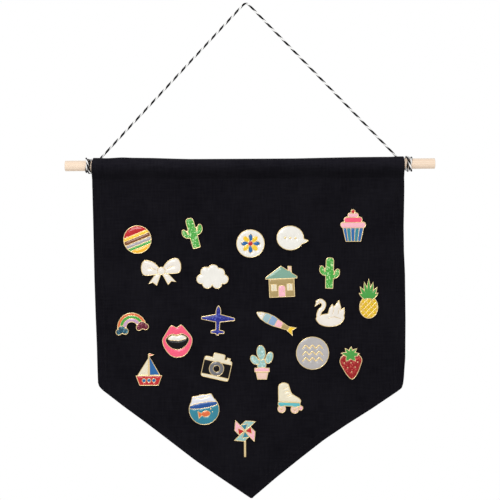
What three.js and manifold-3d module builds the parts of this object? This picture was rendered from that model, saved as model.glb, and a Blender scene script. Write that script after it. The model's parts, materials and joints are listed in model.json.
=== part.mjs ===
// Pin display banner: a black canvas pennant whose rod pocket hangs on a wooden dowel, a two-ply twine
// hitched to both dowel ends as its hanger, and 23 enamel pins, each a struck badge with a soldered post
// that passes through the cloth into a rubber clutch.
// Millimetres. +X is to the right, +Y goes into the wall, +Z is up. The origin is the hang point, where
// the underside of the twine bears on a nail.
import * as THREE from "three";
import { mergeVertices } from "three/addons/utils/BufferGeometryUtils.js";
import Module from "manifold-3d";

const wasm = await Module();
wasm.setup();

// Gap that is kept between two pieces that touch
const CLEARANCE = 0.3;
// How far a facet may lie inside the curve that it stands for
const CHORD = 0.16;

// Dowel
const DOWEL_DIAMETER = 10;
const DOWEL_LENGTH = 357.4;
const DOWEL_CHAMFER = 0.6;
const DOWEL_SHIFT = 1.8; // its middle lies this far right of the hang point
const DOWEL_DROP = 155.6; // its axis lies this far below the hang point

// Twine and its hitches
const TWINE_DIAMETER = 2;
const HITCH_PITCH = 2.6; // spacing of the strands side by side on the dowel
const NAIL_BEND_RADIUS = 4; // of the twine's centre line over the nail
const RUN_INSET = 0.5; // the taut run passes behind the pocket this far inside its end
const RUN_RISE = 1; // and this far above the dowel's axis

// Cloth
const CLOTH_WIDTH = 300;
const CLOTH_THICKNESS = 1;
const POCKET_SLACK = 0.4; // between the dowel and the pocket round it
const SEAM_DROP = 13.4; // pocket seam, below the dowel's axis
const POCKET_FLAP = 8; // folded cloth below the seam
const PANEL_SETBACK = 1.36; // the panel's back hangs this far behind the dowel's axis, under the pins' weight
const SIDE_TAPER = 3.2; // each lower corner lies this far inside the top corner
const CORNER_DROP = 214.1; // lower corners, below the dowel's axis
const TIP_DROP = 321.1; // bottom point, below the dowel's axis
const CORNER_RADIUS = 5;
const TIP_RADIUS = 1.5;
const HEM_WIDTH = 9;
const HEM_THICKNESS = 1; // of the turned-in layers behind the cloth

// Badges
const PLATE_THICKNESS = 1.6;
const CELL_DEPTH = 0.4;
const RIM_WIDTH = 0.7;
const LINE_WIDTH = 0.6; // metal line between two cells
const POST_DIAMETER = 1.2;
const POST_POINT = 0.9;
const POST_RISE = 3; // post, above the badge's centre of mass

// Clutches
const CLUTCH_FLANGE_DIAMETER = 11;
const CLUTCH_KNOB_DIAMETER = 7.6;
const CLUTCH_FLANGE = 2; // flange thickness
const CLUTCH_LENGTH = 6.4;
const CLUTCH_GRIP = 5; // length of the post inside the clutch

const DOWEL_RADIUS = DOWEL_DIAMETER / 2;
const TWINE_RADIUS = TWINE_DIAMETER / 2;
const POST_RADIUS = POST_DIAMETER / 2;
const POCKET_RADIUS = DOWEL_RADIUS + POCKET_SLACK;
const HITCH_RADIUS = DOWEL_RADIUS + CLEARANCE + TWINE_RADIUS;
const HITCH_LIFT = TWINE_DIAMETER + 0.5; // a strand that crosses over another
const HITCH_CENTRE = CLOTH_WIDTH / 2 + CLEARANCE + HITCH_PITCH + TWINE_RADIUS;
const RUN_SETBACK = POCKET_RADIUS + CLOTH_THICKNESS + CLEARANCE + TWINE_RADIUS;
const DOWEL_Y = -Math.max(RUN_SETBACK, HITCH_RADIUS + HITCH_LIFT);
const DOWEL_Z = -DOWEL_DROP;
const CLOTH_BACK = DOWEL_Y + PANEL_SETBACK;
const CLOTH_FRONT = CLOTH_BACK - CLOTH_THICKNESS;
const BADGE_BACK = CLOTH_FRONT - CLEARANCE;
const CLUTCH_FRONT = CLOTH_BACK + CLEARANCE;
const POST_LENGTH = CLUTCH_FRONT + CLUTCH_GRIP - BADGE_BACK;
const BORE_RADIUS = POST_RADIUS + CLEARANCE;

const part = new THREE.Group();

// Materials, one short function each

const canvas = () => new THREE.MeshStandardMaterial({ color: "#17161b", roughness: 0.95 });
const wood = () => new THREE.MeshStandardMaterial({ color: "#e9d0b2", roughness: 0.7 });
const twine = () => new THREE.MeshStandardMaterial({ color: "#8b8986", roughness: 0.9 });
const gold = () => new THREE.MeshStandardMaterial({ color: "#e3c583", roughness: 0.25, metalness: 1 });
const rubber = () => new THREE.MeshStandardMaterial({ color: "#1d1d1f", roughness: 0.8 });

// Solids

function solid(geometry) {
  geometry.deleteAttribute("normal");
  geometry.deleteAttribute("uv");
  const merged = mergeVertices(geometry, 1e-5);
  const vertProperties = new Float32Array(merged.attributes.position.array);
  const triVerts = new Uint32Array(merged.index.array);
  return new wasm.Manifold(new wasm.Mesh({ numProp: 3, vertProperties, triVerts }));
}

function geometryOf(body) {
  const { vertProperties, triVerts } = body.getMesh();
  const geometry = new THREE.BufferGeometry();
  geometry.setAttribute("position", new THREE.BufferAttribute(vertProperties, 3));
  geometry.setIndex(new THREE.BufferAttribute(triVerts, 1));
  geometry.computeVertexNormals();
  return geometry;
}

const join = (bodies) => bodies.reduce((all, body) => all.add(body));

// A flat loop made thick, from height low to height high
function slab(loop, low, high, holes = []) {
  const shape = new THREE.Shape(loop);
  shape.holes = holes.map((hole) => new THREE.Path(hole));
  const geometry = new THREE.ExtrudeGeometry(shape, { depth: high - low, bevelEnabled: false });
  return solid(geometry.translate(0, 0, low));
}

// A tube with closed ends, one ring of corners round each point
function tube(points, radius, sides) {
  const positions = [];
  const index = [];
  const side = new THREE.Vector3();
  points.forEach((point, i) => {
    const before = points[Math.max(i - 1, 0)];
    const after = points[Math.min(i + 1, points.length - 1)];
    const along = after.clone().sub(before).normalize();
    if (i === 0) side.set(0, 1, 0);
    side.addScaledVector(along, -side.dot(along)).normalize();
    const up = along.clone().cross(side);
    for (let k = 0; k < sides; k++) {
      const turn = (2 * Math.PI * k) / sides;
      const corner = point.clone().addScaledVector(side, radius * Math.cos(turn));
      corner.addScaledVector(up, radius * Math.sin(turn));
      positions.push(...corner);
      if (i === 0) continue;
      const a = (i - 1) * sides + k;
      const b = (i - 1) * sides + ((k + 1) % sides);
      index.push(a, b, b + sides, a, b + sides, a + sides);
    }
  });
  const last = (points.length - 1) * sides;
  for (let k = 1; k < sides - 1; k++) {
    index.push(0, k + 1, k);
    index.push(last, last + k, last + k + 1);
  }
  const geometry = new THREE.BufferGeometry();
  geometry.setAttribute("position", new THREE.Float32BufferAttribute(positions, 3));
  geometry.setIndex(index);
  geometry.computeVertexNormals();
  return geometry;
}

// Flat drawing, x to the right and y up as seen from the front

const corners = (...xy) => xy.map(([x, y]) => new THREE.Vector2(x, y));
const box = (x0, y0, x1, y1) => corners([x0, y0], [x1, y0], [x1, y1], [x0, y1]);
const flip = (loop) => loop.map((p) => new THREE.Vector2(-p.x, p.y)).reverse();

const facets = (r) => Math.max(6, Math.ceil(Math.PI / Math.acos(1 - Math.min(CHORD / r, 1))));

function ellipse(x, y, rx, ry, lean = 0) {
  const count = facets(Math.max(rx, ry));
  const turns = Array.from({ length: count }, (_, k) => (2 * Math.PI * k) / count);
  const middle = new THREE.Vector2();
  const round = turns.map((t) => new THREE.Vector2(rx * Math.cos(t), ry * Math.sin(t)));
  round.forEach((p) => p.rotateAround(middle, THREE.MathUtils.degToRad(lean)));
  return round.map((p) => p.add(new THREE.Vector2(x, y)));
}

const disc = (x, y, r) => ellipse(x, y, r, r);

// A loop without the points that lie on the straight line between their neighbours, to the chord error
function thinned(loop) {
  const kept = [];
  loop.forEach((p, i) => {
    const before = kept.at(-1) ?? loop.at(-1);
    const after = loop[(i + 1) % loop.length];
    const span = after.clone().sub(before);
    const away = Math.abs(span.cross(p.clone().sub(before))) / span.length();
    if (away > CHORD) kept.push(p);
  });
  return kept;
}

// A closed curve through its points
function smooth(xy) {
  const through = xy.map(([x, y]) => new THREE.Vector3(x, y, 0));
  const curve = new THREE.CatmullRomCurve3(through, true, "centripetal");
  const points = curve.getPoints(4 * xy.length).slice(0, -1);
  return thinned(points.map((p) => new THREE.Vector2(p.x, p.y)));
}

// A band of one width along an open curve, with round ends
function stroke(xy, width) {
  const through = xy.map(([x, y]) => new THREE.Vector3(x, y, 0));
  const curve = new THREE.CatmullRomCurve3(through, false, "centripetal");
  const count = 4 * (xy.length - 1);
  const loop = [];
  const put = (t, turn) => {
    const p = curve.getPoint(t);
    const along = curve.getTangent(t);
    const angle = Math.atan2(along.y, along.x) + THREE.MathUtils.degToRad(turn);
    loop.push(new THREE.Vector2(p.x + (width / 2) * Math.cos(angle), p.y + (width / 2) * Math.sin(angle)));
  };
  for (let k = 0; k <= count; k++) put(k / count, -90);
  for (const turn of [-45, 0, 45]) put(1, turn);
  for (let k = count; k >= 0; k--) put(k / count, 90);
  for (const turn of [135, 180, 225]) put(0, turn);
  return thinned(loop);
}

// A pointed leaf from its root to its tip
function leaf(x0, y0, x1, y1, width) {
  const root = new THREE.Vector2(x0, y0);
  const span = new THREE.Vector2(x1 - x0, y1 - y0);
  const across = new THREE.Vector2(-span.y, span.x).normalize().multiplyScalar(width / 2);
  const place = ([t, w]) => root.clone().addScaledVector(span, t).addScaledVector(across, w);
  return [[0, -0.5], [0.3, -1], [0.65, -0.75], [1, 0], [0.65, 0.75], [0.3, 1], [0, 0.5]].map(place);
}

// Part of a ring between two angles in degrees
function arch(x, y, inner, outer, from, to) {
  const count = Math.ceil((facets(outer) * (to - from)) / 360);
  const at = (r, k) => {
    const angle = THREE.MathUtils.degToRad(from + ((to - from) * k) / count);
    return new THREE.Vector2(x + r * Math.cos(angle), y + r * Math.sin(angle));
  };
  const steps = Array.from({ length: count + 1 }, (_, k) => k);
  return [...steps.map((k) => at(outer, k)), ...steps.map((k) => at(inner, count - k))];
}

// A loop moved outwards by a distance, or inwards if that is negative
function offset(loop, distance) {
  const turned = THREE.ShapeUtils.isClockWise(loop) ? [...loop].reverse() : loop;
  const count = turned.length;
  return turned.map((p, i) => {
    const from = p.clone().sub(turned[(i + count - 1) % count]).normalize();
    const to = turned[(i + 1) % count].clone().sub(p).normalize();
    const normal = new THREE.Vector2(from.y + to.y, -from.x - to.x);
    const reach = Math.max(1 + from.dot(to), 0.35);
    return p.clone().addScaledVector(normal, distance / reach);
  });
}

// Outer loops of a solid's flat faces at one height, each with its holes
function facesAt(body, height) {
  const { vertProperties, triVerts } = body.getMesh();
  const corner = (i) => new THREE.Vector3().fromArray(vertProperties, 3 * i);
  const flat = (i) => Math.abs(corner(i).z - height) < 1e-3;
  const edges = new Set();
  for (let t = 0; t < triVerts.length; t += 3) {
    const [a, b, c] = triVerts.slice(t, t + 3);
    if (!flat(a) || !flat(b) || !flat(c)) continue;
    for (const edge of [[a, b], [b, c], [c, a]]) edges.add(edge.join());
  }
  const next = new Map();
  for (const edge of edges) {
    const [a, b] = edge.split(",").map(Number);
    if (!edges.has(`${b},${a}`)) next.set(a, b);
  }
  const outer = [];
  const holes = [];
  while (next.size > 0) {
    const loop = [];
    let at = next.keys().next().value;
    while (next.has(at)) {
      const { x, y } = corner(at);
      loop.push(new THREE.Vector2(x, y));
      const to = next.get(at);
      next.delete(at);
      at = to;
    }
    const clean = thinned(loop);
    if (clean.length < 3 || Math.abs(THREE.ShapeUtils.area(clean)) < CHORD) continue;
    if (THREE.ShapeUtils.area(clean) > 0) outer.push({ loop: clean, holes: [] });
    else holes.push(clean);
  }
  outer.sort((a, b) => THREE.ShapeUtils.area(a.loop) - THREE.ShapeUtils.area(b.loop));
  for (const hole of holes) outer.find(({ loop }) => contains(loop, hole[0])).holes.push(hole);
  return outer;
}

// Whether a loop goes round a point
function contains(loop, point) {
  let inside = false;
  loop.forEach((a, i) => {
    const b = loop[(i + 1) % loop.length];
    if (a.y > point.y === b.y > point.y) return;
    if (point.x < a.x + ((point.y - a.y) * (b.x - a.x)) / (b.y - a.y)) inside = !inside;
  });
  return inside;
}

// Dowel: a plain rod with eased ends, along X

function dowel() {
  const half = DOWEL_LENGTH / 2;
  const ease = DOWEL_CHAMFER;
  const profile = corners([0, -half], [DOWEL_RADIUS - ease, -half], [DOWEL_RADIUS, ease - half]);
  profile.push(...corners([DOWEL_RADIUS, half - ease], [DOWEL_RADIUS - ease, half], [0, half]));
  const mesh = new THREE.Mesh(new THREE.LatheGeometry(profile, 32).rotateZ(-Math.PI / 2), wood());
  mesh.name = "dowel";
  mesh.position.set(DOWEL_SHIFT, DOWEL_Y, DOWEL_Z);
  return mesh;
}

// Twine: one clove hitch on each end of the dowel and the free stretch over the nail between them

const ease = (a, from, to) => THREE.MathUtils.smoothstep(a, from, to);

// A point of a hitch, after the angle a in degrees round the dowel: down its back, up its front.
// The first strand leads in over its neighbour, and the second crosses over both others in front.
function hitchPoint(a, side) {
  const lead = -0.45 * side * (1 - ease(a, 15, 90));
  const place = ease(a, 90, 270) - 2 * ease(a, 440, 640) + ease(a, 810, 990) + lead;
  const lift = 1 - ease(a, 15, 115) + ease(a, 415, 490) - ease(a, 590, 665);
  const radius = HITCH_RADIUS + HITCH_LIFT * lift;
  const turn = THREE.MathUtils.degToRad(a);
  const y = DOWEL_Y + radius * Math.cos(turn);
  const z = DOWEL_Z - radius * Math.sin(turn);
  return new THREE.Vector3(side * HITCH_CENTRE + HITCH_PITCH * place, y, z);
}

// A point on the straight end of a hitch, at a distance before its first turn
function leadPoint(side, distance) {
  const start = hitchPoint(15, side);
  const along = hitchPoint(17, side).sub(start).normalize();
  return start.addScaledVector(along, -distance);
}

function hitchLine(side) {
  const points = [leadPoint(side, TWINE_DIAMETER)];
  for (let a = 15; a <= 990; a += 15) points.push(hitchPoint(a, side));
  const end = points.at(-1);
  const along = end.clone().sub(points.at(-2)).normalize();
  points.push(end.clone().addScaledVector(along, TWINE_DIAMETER));
  return points;
}

// Least gap of a wound tube to itself, between points over half a turn apart
function leastGap(points) {
  let least = Infinity;
  points.forEach((p, i) => {
    for (const q of points.slice(i + 10)) least = Math.min(least, p.distanceTo(q) - TWINE_DIAMETER);
  });
  return least;
}

function hitch(name, side) {
  const coarse = hitchLine(side);
  const fine = new THREE.CatmullRomCurve3(coarse).getPoints(6 * coarse.length);
  const gap = leastGap(fine.filter((_, i) => i % 3 === 0));
  console.log(`${name}: least gap to itself ${gap.toFixed(2)} mm`);
  const mesh = new THREE.Mesh(tube(coarse, TWINE_RADIUS, 6), twine());
  mesh.name = name;
  return mesh;
}

// Half of the free stretch, from the top of the nail to a hitch
function cordHalf(side) {
  const top = new THREE.Vector3(0, 0, TWINE_RADIUS);
  const foot = new THREE.Vector3(side * (CLOTH_WIDTH / 2 - RUN_INSET), 0, DOWEL_Z + RUN_RISE);
  const slope = Math.atan2(top.z - foot.z, side * foot.x);
  const points = [];
  for (const share of [0, 0.25, 0.5, 0.75, 1]) {
    const turn = slope * share;
    const x = side * NAIL_BEND_RADIUS * Math.sin(turn);
    points.push(new THREE.Vector3(x, 0, top.z - NAIL_BEND_RADIUS * (1 - Math.cos(turn))));
  }
  const from = points.at(-1);
  const steps = 34;
  for (let k = 1; k <= steps; k++) points.push(from.clone().lerp(foot, k / steps));
  const end = TWINE_DIAMETER + CLEARANCE;
  points.push(leadPoint(side, end + TWINE_DIAMETER), leadPoint(side, end));
  return points;
}

function hangingCord() {
  const right = cordHalf(1);
  const left = cordHalf(-1).slice(1).reverse();
  const mesh = new THREE.Mesh(tube([...left, ...right], TWINE_RADIUS, 8), twine());
  mesh.name = "hanging_cord";
  return mesh;
}

// Cloth: pocket, panel and hems in one piece, drawn from the dowel's axis

// Arc of a drop-shaped section, round the dowel, whose ends run straight to the feet behind and in front
function dropSection(radius, backFoot, frontFoot) {
  const start = backFoot.angle() + Math.acos(radius / backFoot.length());
  const end = frontFoot.angle() - Math.acos(radius / frontFoot.length());
  const sweep = 2 * Math.PI - (start - end);
  const count = 20;
  const loop = [];
  for (let k = 0; k <= count; k++) {
    const angle = start + (sweep * k) / count;
    loop.push(new THREE.Vector2(radius * Math.cos(angle), radius * Math.sin(angle)));
  }
  return loop;
}

function pocket() {
  const back = PANEL_SETBACK + CLOTH_THICKNESS;
  const front = PANEL_SETBACK - CLOTH_THICKNESS;
  const foot = -SEAM_DROP - POCKET_FLAP;
  const [seam, backFoot, frontFoot, ...flap] = corners(
    [PANEL_SETBACK, -SEAM_DROP], [back, -SEAM_DROP], [front, -SEAM_DROP], [front, foot], [back, foot],
  );
  const outer = dropSection(POCKET_RADIUS + CLOTH_THICKNESS, backFoot, frontFoot);
  outer.push(frontFoot, ...flap, backFoot);
  const inner = dropSection(POCKET_RADIUS, seam, seam);
  inner.push(seam);
  const shape = new THREE.Shape(outer);
  shape.holes = [new THREE.Path(inner)];
  const geometry = new THREE.ExtrudeGeometry(shape, { depth: CLOTH_WIDTH, bevelEnabled: false });
  const axes = [new THREE.Vector3(0, 1, 0), new THREE.Vector3(0, 0, 1), new THREE.Vector3(1, 0, 0)];
  geometry.applyMatrix4(new THREE.Matrix4().makeBasis(...axes));
  return solid(geometry.translate(-CLOTH_WIDTH / 2, 0, 0));
}

// A loop whose corners are rounded, each by its own radius
function rounded(points, radii) {
  const loop = [];
  points.forEach((p, i) => {
    if (radii[i] === 0) {
      loop.push(p);
      return;
    }
    const before = points[(i + points.length - 1) % points.length].clone().sub(p).normalize();
    const after = points[(i + 1) % points.length].clone().sub(p).normalize();
    const setback = radii[i] / Math.tan(Math.acos(before.dot(after)) / 2);
    const start = p.clone().addScaledVector(before, setback);
    const end = p.clone().addScaledVector(after, setback);
    const curve = new THREE.QuadraticBezierCurve(start, p, end);
    loop.push(...curve.getPoints(3));
  });
  return loop;
}

function bannerCloth(places) {
  const half = CLOTH_WIDTH / 2;
  const low = half - SIDE_TAPER;
  const flap = SEAM_DROP + POCKET_FLAP;
  const sharp = corners([-half, -SEAM_DROP], [-half, -flap], [-low, -CORNER_DROP], [0, -TIP_DROP]);
  sharp.push(...corners([low, -CORNER_DROP], [half, -flap], [half, -SEAM_DROP]));
  const outline = rounded(sharp, [0, 0, CORNER_RADIUS, TIP_RADIUS, CORNER_RADIUS, 0, 0]);
  const inside = offset(sharp.slice(1, -1), -HEM_WIDTH);
  inside[0].y = inside.at(-1).y = -SEAM_DROP - POCKET_FLAP / 2;
  const panel = slab(outline, 0, CLOTH_THICKNESS);
  const hems = slab(outline, -HEM_THICKNESS, 0, [inside]);
  const upright = (body) => body.rotate([90, 0, 0]).translate([0, PANEL_SETBACK, 0]);
  let cloth = join([pocket(), upright(panel), upright(hems)]);
  for (const { x, drop } of places) {
    const hole = slab(disc(x, -drop, BORE_RADIUS), -1, CLOTH_THICKNESS + 1);
    cloth = cloth.subtract(upright(hole));
  }
  const mesh = new THREE.Mesh(geometryOf(cloth), canvas());
  mesh.name = "banner_cloth";
  mesh.position.set(0, DOWEL_Y, DOWEL_Z);
  return mesh;
}

// Badge: a plate with sunk cells. The outline's loops are joined. Each cell is a list of loops and lies over
// the cells before it, with a metal line round it. The ground, the field inside the rim, lies under them
// all, and raised loops stay at the height of the rim.

function badgePlate({ outline, cells = [], ground = true, raised = [] }) {
  const floor = PLATE_THICKNESS - CELL_DEPTH;
  const above = PLATE_THICKNESS + 1;
  const cutter = (loops, growth) => join(loops.map((loop) => slab(offset(loop, growth), floor, above)));
  const field = cutter(outline, -RIM_WIDTH);
  const layers = cells.map((loops) => cutter(loops, 0).intersect(field));
  const margins = cells.map((loops) => cutter(loops, LINE_WIDTH));
  if (ground) {
    layers.unshift(field);
    margins.unshift(field);
  }
  const keep = raised.map((loop) => slab(loop, floor - 1, above + 1));
  const whole = facesAt(join(outline.map((loop) => slab(loop, floor, above))), above);
  let plate = join(whole.map(({ loop, holes }) => slab(loop, 0, PLATE_THICKNESS, holes)));
  layers.forEach((layer, i) => {
    const cut = [...margins.slice(i + 1), ...keep].reduce((rest, over) => rest.subtract(over), layer);
    for (const face of facesAt(cut, above)) {
      plate = plate.subtract(slab(face.loop, floor, above, face.holes));
    }
  });
  return plate;
}

// Centre of mass of a solid
function centreOf(body) {
  const { vertProperties, triVerts } = body.getMesh();
  const corner = (i) => new THREE.Vector3().fromArray(vertProperties, 3 * triVerts[i]);
  const sum = new THREE.Vector3();
  let volume = 0;
  for (let i = 0; i < triVerts.length; i += 3) {
    const [a, b, c] = [corner(i), corner(i + 1), corner(i + 2)];
    const share = a.dot(b.clone().cross(c)) / 6;
    volume += share;
    sum.addScaledVector(a.add(b).add(c), share / 4);
  }
  return sum.divideScalar(volume);
}

function post(x, y) {
  const tip = POST_LENGTH - POST_POINT;
  const profile = corners([0, -POST_LENGTH], [0.35 * POST_RADIUS, -POST_LENGTH], [POST_RADIUS, -tip]);
  profile.push(...corners([POST_RADIUS, PLATE_THICKNESS / 3], [0, PLATE_THICKNESS / 3]));
  return solid(new THREE.LatheGeometry(profile, 6).rotateX(Math.PI / 2).translate(x, y, 0));
}

// A badge's mesh, and the place where its post goes through the cloth
function badge(name, drawing, [across, drop], lean) {
  const turn = THREE.MathUtils.degToRad(lean);
  const plate = badgePlate(drawing);
  const centre = centreOf(plate);
  const foot = new THREE.Vector2(centre.x, centre.y).rotateAround(new THREE.Vector2(), turn);
  foot.y += drawing.rise ?? POST_RISE;
  const place = { x: across * CLOTH_WIDTH + foot.x, drop: drop - foot.y };
  const local = foot.clone().rotateAround(new THREE.Vector2(), -turn);
  const body = plate.add(post(local.x, local.y)).translate([-local.x, -local.y, 0]);
  const mesh = new THREE.Mesh(geometryOf(body), gold());
  mesh.name = `${name}_badge`;
  mesh.rotation.z = turn;
  const stand = new THREE.Group();
  stand.rotation.x = Math.PI / 2;
  stand.position.set(place.x, BADGE_BACK, DOWEL_Z - place.drop);
  stand.add(mesh);
  return { stand, place };
}

// Clutch: a soft round cap with a blind bore, its flange against the cloth

function clutch(name, place) {
  const flange = CLUTCH_FLANGE_DIAMETER / 2;
  const knob = CLUTCH_KNOB_DIAMETER / 2;
  const blind = CLUTCH_GRIP + CLEARANCE;
  const profile = corners([0, blind], [BORE_RADIUS, blind], [BORE_RADIUS, 0], [flange, 0]);
  profile.push(...corners([flange, CLUTCH_FLANGE], [knob, CLUTCH_FLANGE], [knob, CLUTCH_LENGTH]));
  profile.push(...corners([0, CLUTCH_LENGTH]));
  const mesh = new THREE.Mesh(new THREE.LatheGeometry(profile, 12), rubber());
  mesh.name = `${name}_clutch`;
  mesh.position.set(place.x, CLUTCH_FRONT, DOWEL_Z - place.drop);
  return mesh;
}

// Drawings of the badges, about the middle of each

function stripes() {
  const band = (low, high) => corners([-20, low - 8], [20, low + 8], [20, high + 8], [-20, high - 8]);
  const edges = [-18, -8.4, -5.2, -1.4, 3, 6.2, 18];
  const cells = edges.slice(1).map((high, i) => [band(edges[i], high)]);
  return { outline: [disc(0, 0, 13.7)], cells, ground: false };
}

function cactus(height, reach, leftDrop, rightDrop) {
  const half = height / 2;
  const width = 8;
  const arm = 4.6;
  const trunk = rounded(box(-width / 2, -half, width / 2, half), [1.2, 1.2, 3.4, 3.4]);
  const bend = (side, top) => {
    const x = side * (reach - arm / 2);
    return stroke([[0, top - 8], [0.75 * x, top - 7.4], [x, top - 5], [x, top - arm / 2]], arm);
  };
  const arms = [bend(-1, half - leftDrop), bend(1, half - rightDrop)];
  const web = (side, top) => {
    const x = side * (reach - arm / 2);
    return corners([0, top - 2.2], [x, top - 2.2], [x, top - 6], [0, top - 6]);
  };
  const webs = [web(-1, half - leftDrop), web(1, half - rightDrop)];
  return { outline: [trunk, ...arms, ...webs], cells: [[trunk, ...arms]], ground: false };
}

function rosette() {
  const petal = (k) => {
    const turn = (k * Math.PI) / 4;
    const lean = k * 45;
    return ellipse(5.6 * Math.cos(turn), 5.6 * Math.sin(turn), 3.4, 1.9, lean);
  };
  const petals = Array.from({ length: 8 }, (_, k) => [petal(k)]);
  return { outline: [disc(0, 0, 13.7)], cells: [...petals, [disc(0, 0, 2.2)]] };
}

function bubble() {
  const body = ellipse(-2.2, 0, 13.3, 12);
  const tail = smooth([[4, 4], [9.5, 0.5], [15.5, -1.6], [11, -5], [3, -6]]);
  const dots = [-7.2, -2.2, 2.8].map((x) => disc(x, 0, 1.2));
  return { outline: [body, tail], raised: dots };
}

function cupcake() {
  const edge = (share) => [-10.4 + 20.8 * share, -7.4 + 14.8 * share];
  const flute = (k) => {
    const [left, leftLow] = edge(k / 5);
    const [right, rightLow] = edge((k + 1) / 5);
    return corners([leftLow, -15.6], [rightLow, -15.6], [right, -2], [left, -2]);
  };
  const cup = corners([-7.4, -15.6], [7.4, -15.6], [10.4, -2], [-10.4, -2]);
  const tiers = [[0.6, 9, 7], [5.6, 6, 6.4], [10, 2.8, 5.4]];
  const icing = tiers.map(([y, half, width]) => stroke([[-half, y], [half, y]], width));
  const cherry = disc(0, 13.4, 2.4);
  const flutes = [0, 1, 2, 3, 4].map((k) => [flute(k)]);
  const swirl = [[-2, 3.2], [3.2, 8], [8, 12]].map(([low, high]) => [box(-14, low, 14, high)]);
  const cells = [...flutes, ...swirl, [box(-3, 12, 3, 17)]];
  return { outline: [cup, ...icing, cherry], cells, ground: false };
}

function bow() {
  const loop = smooth([
    [-1, 3], [-7.5, 10.6], [-16, 12.4], [-19.4, 6], [-17.6, -1.4], [-9.6, -2.6], [-1, -0.4],
  ]);
  const tail = corners([1, 1], [-5.4, -13], [-9, -9.6], [-13.6, -10.6], [-4, 1]);
  const knot = ellipse(0, 1.2, 3.4, 4);
  const crease = stroke([[-4.6, 2.2], [-8.4, 4.2], [-12.4, 4.8]], LINE_WIDTH);
  const outline = [loop, flip(loop), tail, flip(tail), knot];
  return { outline, cells: [[loop], [flip(loop)], [knot]], raised: [crease, flip(crease)] };
}

function cloud() {
  const puffs = [[-10.6, -2.4, 5], [10.6, -2.6, 5], [-6.2, 4, 5.6], [0.8, 6, 5.8], [7, 3.2, 5.2]];
  const lows = [[-5, -6.6, 5.2], [4.4, -6.8, 5.1], [0, 0, 8.4]];
  return { outline: [...puffs, ...lows].map(([x, y, r]) => disc(x, y, r)) };
}

function house() {
  const roof = corners([-15.4, 2.4], [15.4, 2.4], [15.4, 4.6], [0, 15.2], [-15.4, 4.6]);
  const walls = box(-12.4, -15.2, 12.4, 3);
  const chimney = box(6.4, 6, 10.2, 14.6);
  const door = rounded(box(-3, -16, 3, -4), [0, 0, 2.4, 2.4]);
  const window = box(-10, -8.6, -5.2, -2.8);
  const bar = box(-7.9, -9, -7.3, -2);
  const cells = [[chimney], [roof], [door], [window], [flip(window)]];
  return { outline: [roof, walls, chimney], cells, raised: [bar, flip(bar), disc(1.7, -9.6, 0.6)] };
}

function pineapple() {
  const body = ellipse(0, -8.2, 9.2, 11.2);
  const tips = [[-9.6, 5.6], [9.6, 5.6], [-8.4, 12], [8.6, 11.4], [-4.2, 16.6], [4.6, 16.4], [0.2, 19.4]];
  const leaves = tips.map(([x, y]) => leaf(0.25 * x, 0.5, x, y, 4.6));
  const line = (x, side) => {
    const run = 14 * side;
    const half = LINE_WIDTH * 0.6;
    const foot = [[x - run - half, -22], [x - run + half, -22]];
    return corners(...foot, [x + 0.6 * run + half, 0.4], [x + 0.6 * run - half, 0.4]);
  };
  const rows = [-9.2, -3.6, 2, 7.6];
  const lattice = rows.flatMap((x) => [line(x + 0.8, 1), line(-x - 0.8, -1)]);
  return { outline: [body, ...leaves], cells: [leaves], raised: lattice };
}

function rainbow() {
  const bands = [[11.2, 14.2], [8.4, 11.2], [5.4, 8.4]];
  const arcs = bands.map(([inner, outer]) => [arch(0, -5, inner, outer, 8, 172)]);
  const puff = (x, y) => [[x - 3.2, y, 3.2], [x + 3, y - 0.2, 3.4], [x, y + 1.4, 3.8]];
  const left = puff(-10, -7.4).map(([x, y, r]) => disc(x, y, r));
  const right = puff(10, -6.6).map(([x, y, r]) => disc(x, y, r));
  const whole = arch(0, -5, 5, 14.2, 0, 180);
  return { outline: [whole, ...left, ...right], cells: [...arcs, left, right], ground: false };
}

function lips() {
  const edge = smooth([
    [-14.6, 1.4], [-10, 9.4], [-4.6, 15.6], [0, 13.4], [4.6, 15.6], [10, 9.4],
    [14.6, 1.4], [11.6, -8.6], [6, -14.6], [0, -16], [-6, -14.6], [-11.6, -8.6],
  ]);
  const mouth = smooth([
    [-11, 1.6], [-5, 6.6], [0, 5.6], [5, 6.6], [11, 1.6], [6.4, -5.8], [0, -8], [-6.4, -5.8],
  ]);
  const teeth = smooth([
    [-8.6, 2.6], [-4.6, 5.4], [0, 4.6], [4.6, 5.4], [8.6, 2.6], [4.4, 1], [0, 0.4], [-4.4, 1],
  ]);
  return { outline: [edge], cells: [[mouth], [teeth]] };
}

function aeroplane() {
  const hull = smooth([
    [0, 14.8], [2.4, 11], [2.6, 3], [2, -8], [1.4, -14], [-1.4, -14], [-2, -8], [-2.6, 3], [-2.4, 11],
  ]);
  const wing = rounded(corners([0, 6.8], [-16.4, 3.4], [-16.4, 0.4], [0, -2]), [0, 1.4, 1.4, 0]);
  const tail = rounded(corners([0, -8.2], [-6.8, -9.6], [-6.8, -12.6], [0, -12.8]), [0, 1.4, 1.4, 0]);
  return { outline: [hull, wing, flip(wing), tail, flip(tail)] };
}

function fish() {
  const top = [[-21.6, 0.4], [-17, 3.2], [-9, 4.9], [0, 4.5], [8, 2.8], [14, 1.4]];
  const fork = [[20, 4.6], [17.2, 0], [20, -4.6]];
  const low = [[14, -1.4], [8, -2.8], [0, -4.5], [-9, -4.9], [-17, -3.2]];
  const body = smooth([...top, ...low]);
  const tail = corners([11, -2], ...[...fork].reverse(), [11, 2]);
  const cuts = [-24, -13.4, -7, 0, 6.4, 13.4, 24];
  const cells = cuts.slice(1).map((right, i) => [box(cuts[i], -10, right, 10)]);
  const eye = disc(-17.4, 0.8, 0.9);
  return { outline: [body, tail], cells, ground: false, raised: [eye], rise: 0.3 };
}

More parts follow.
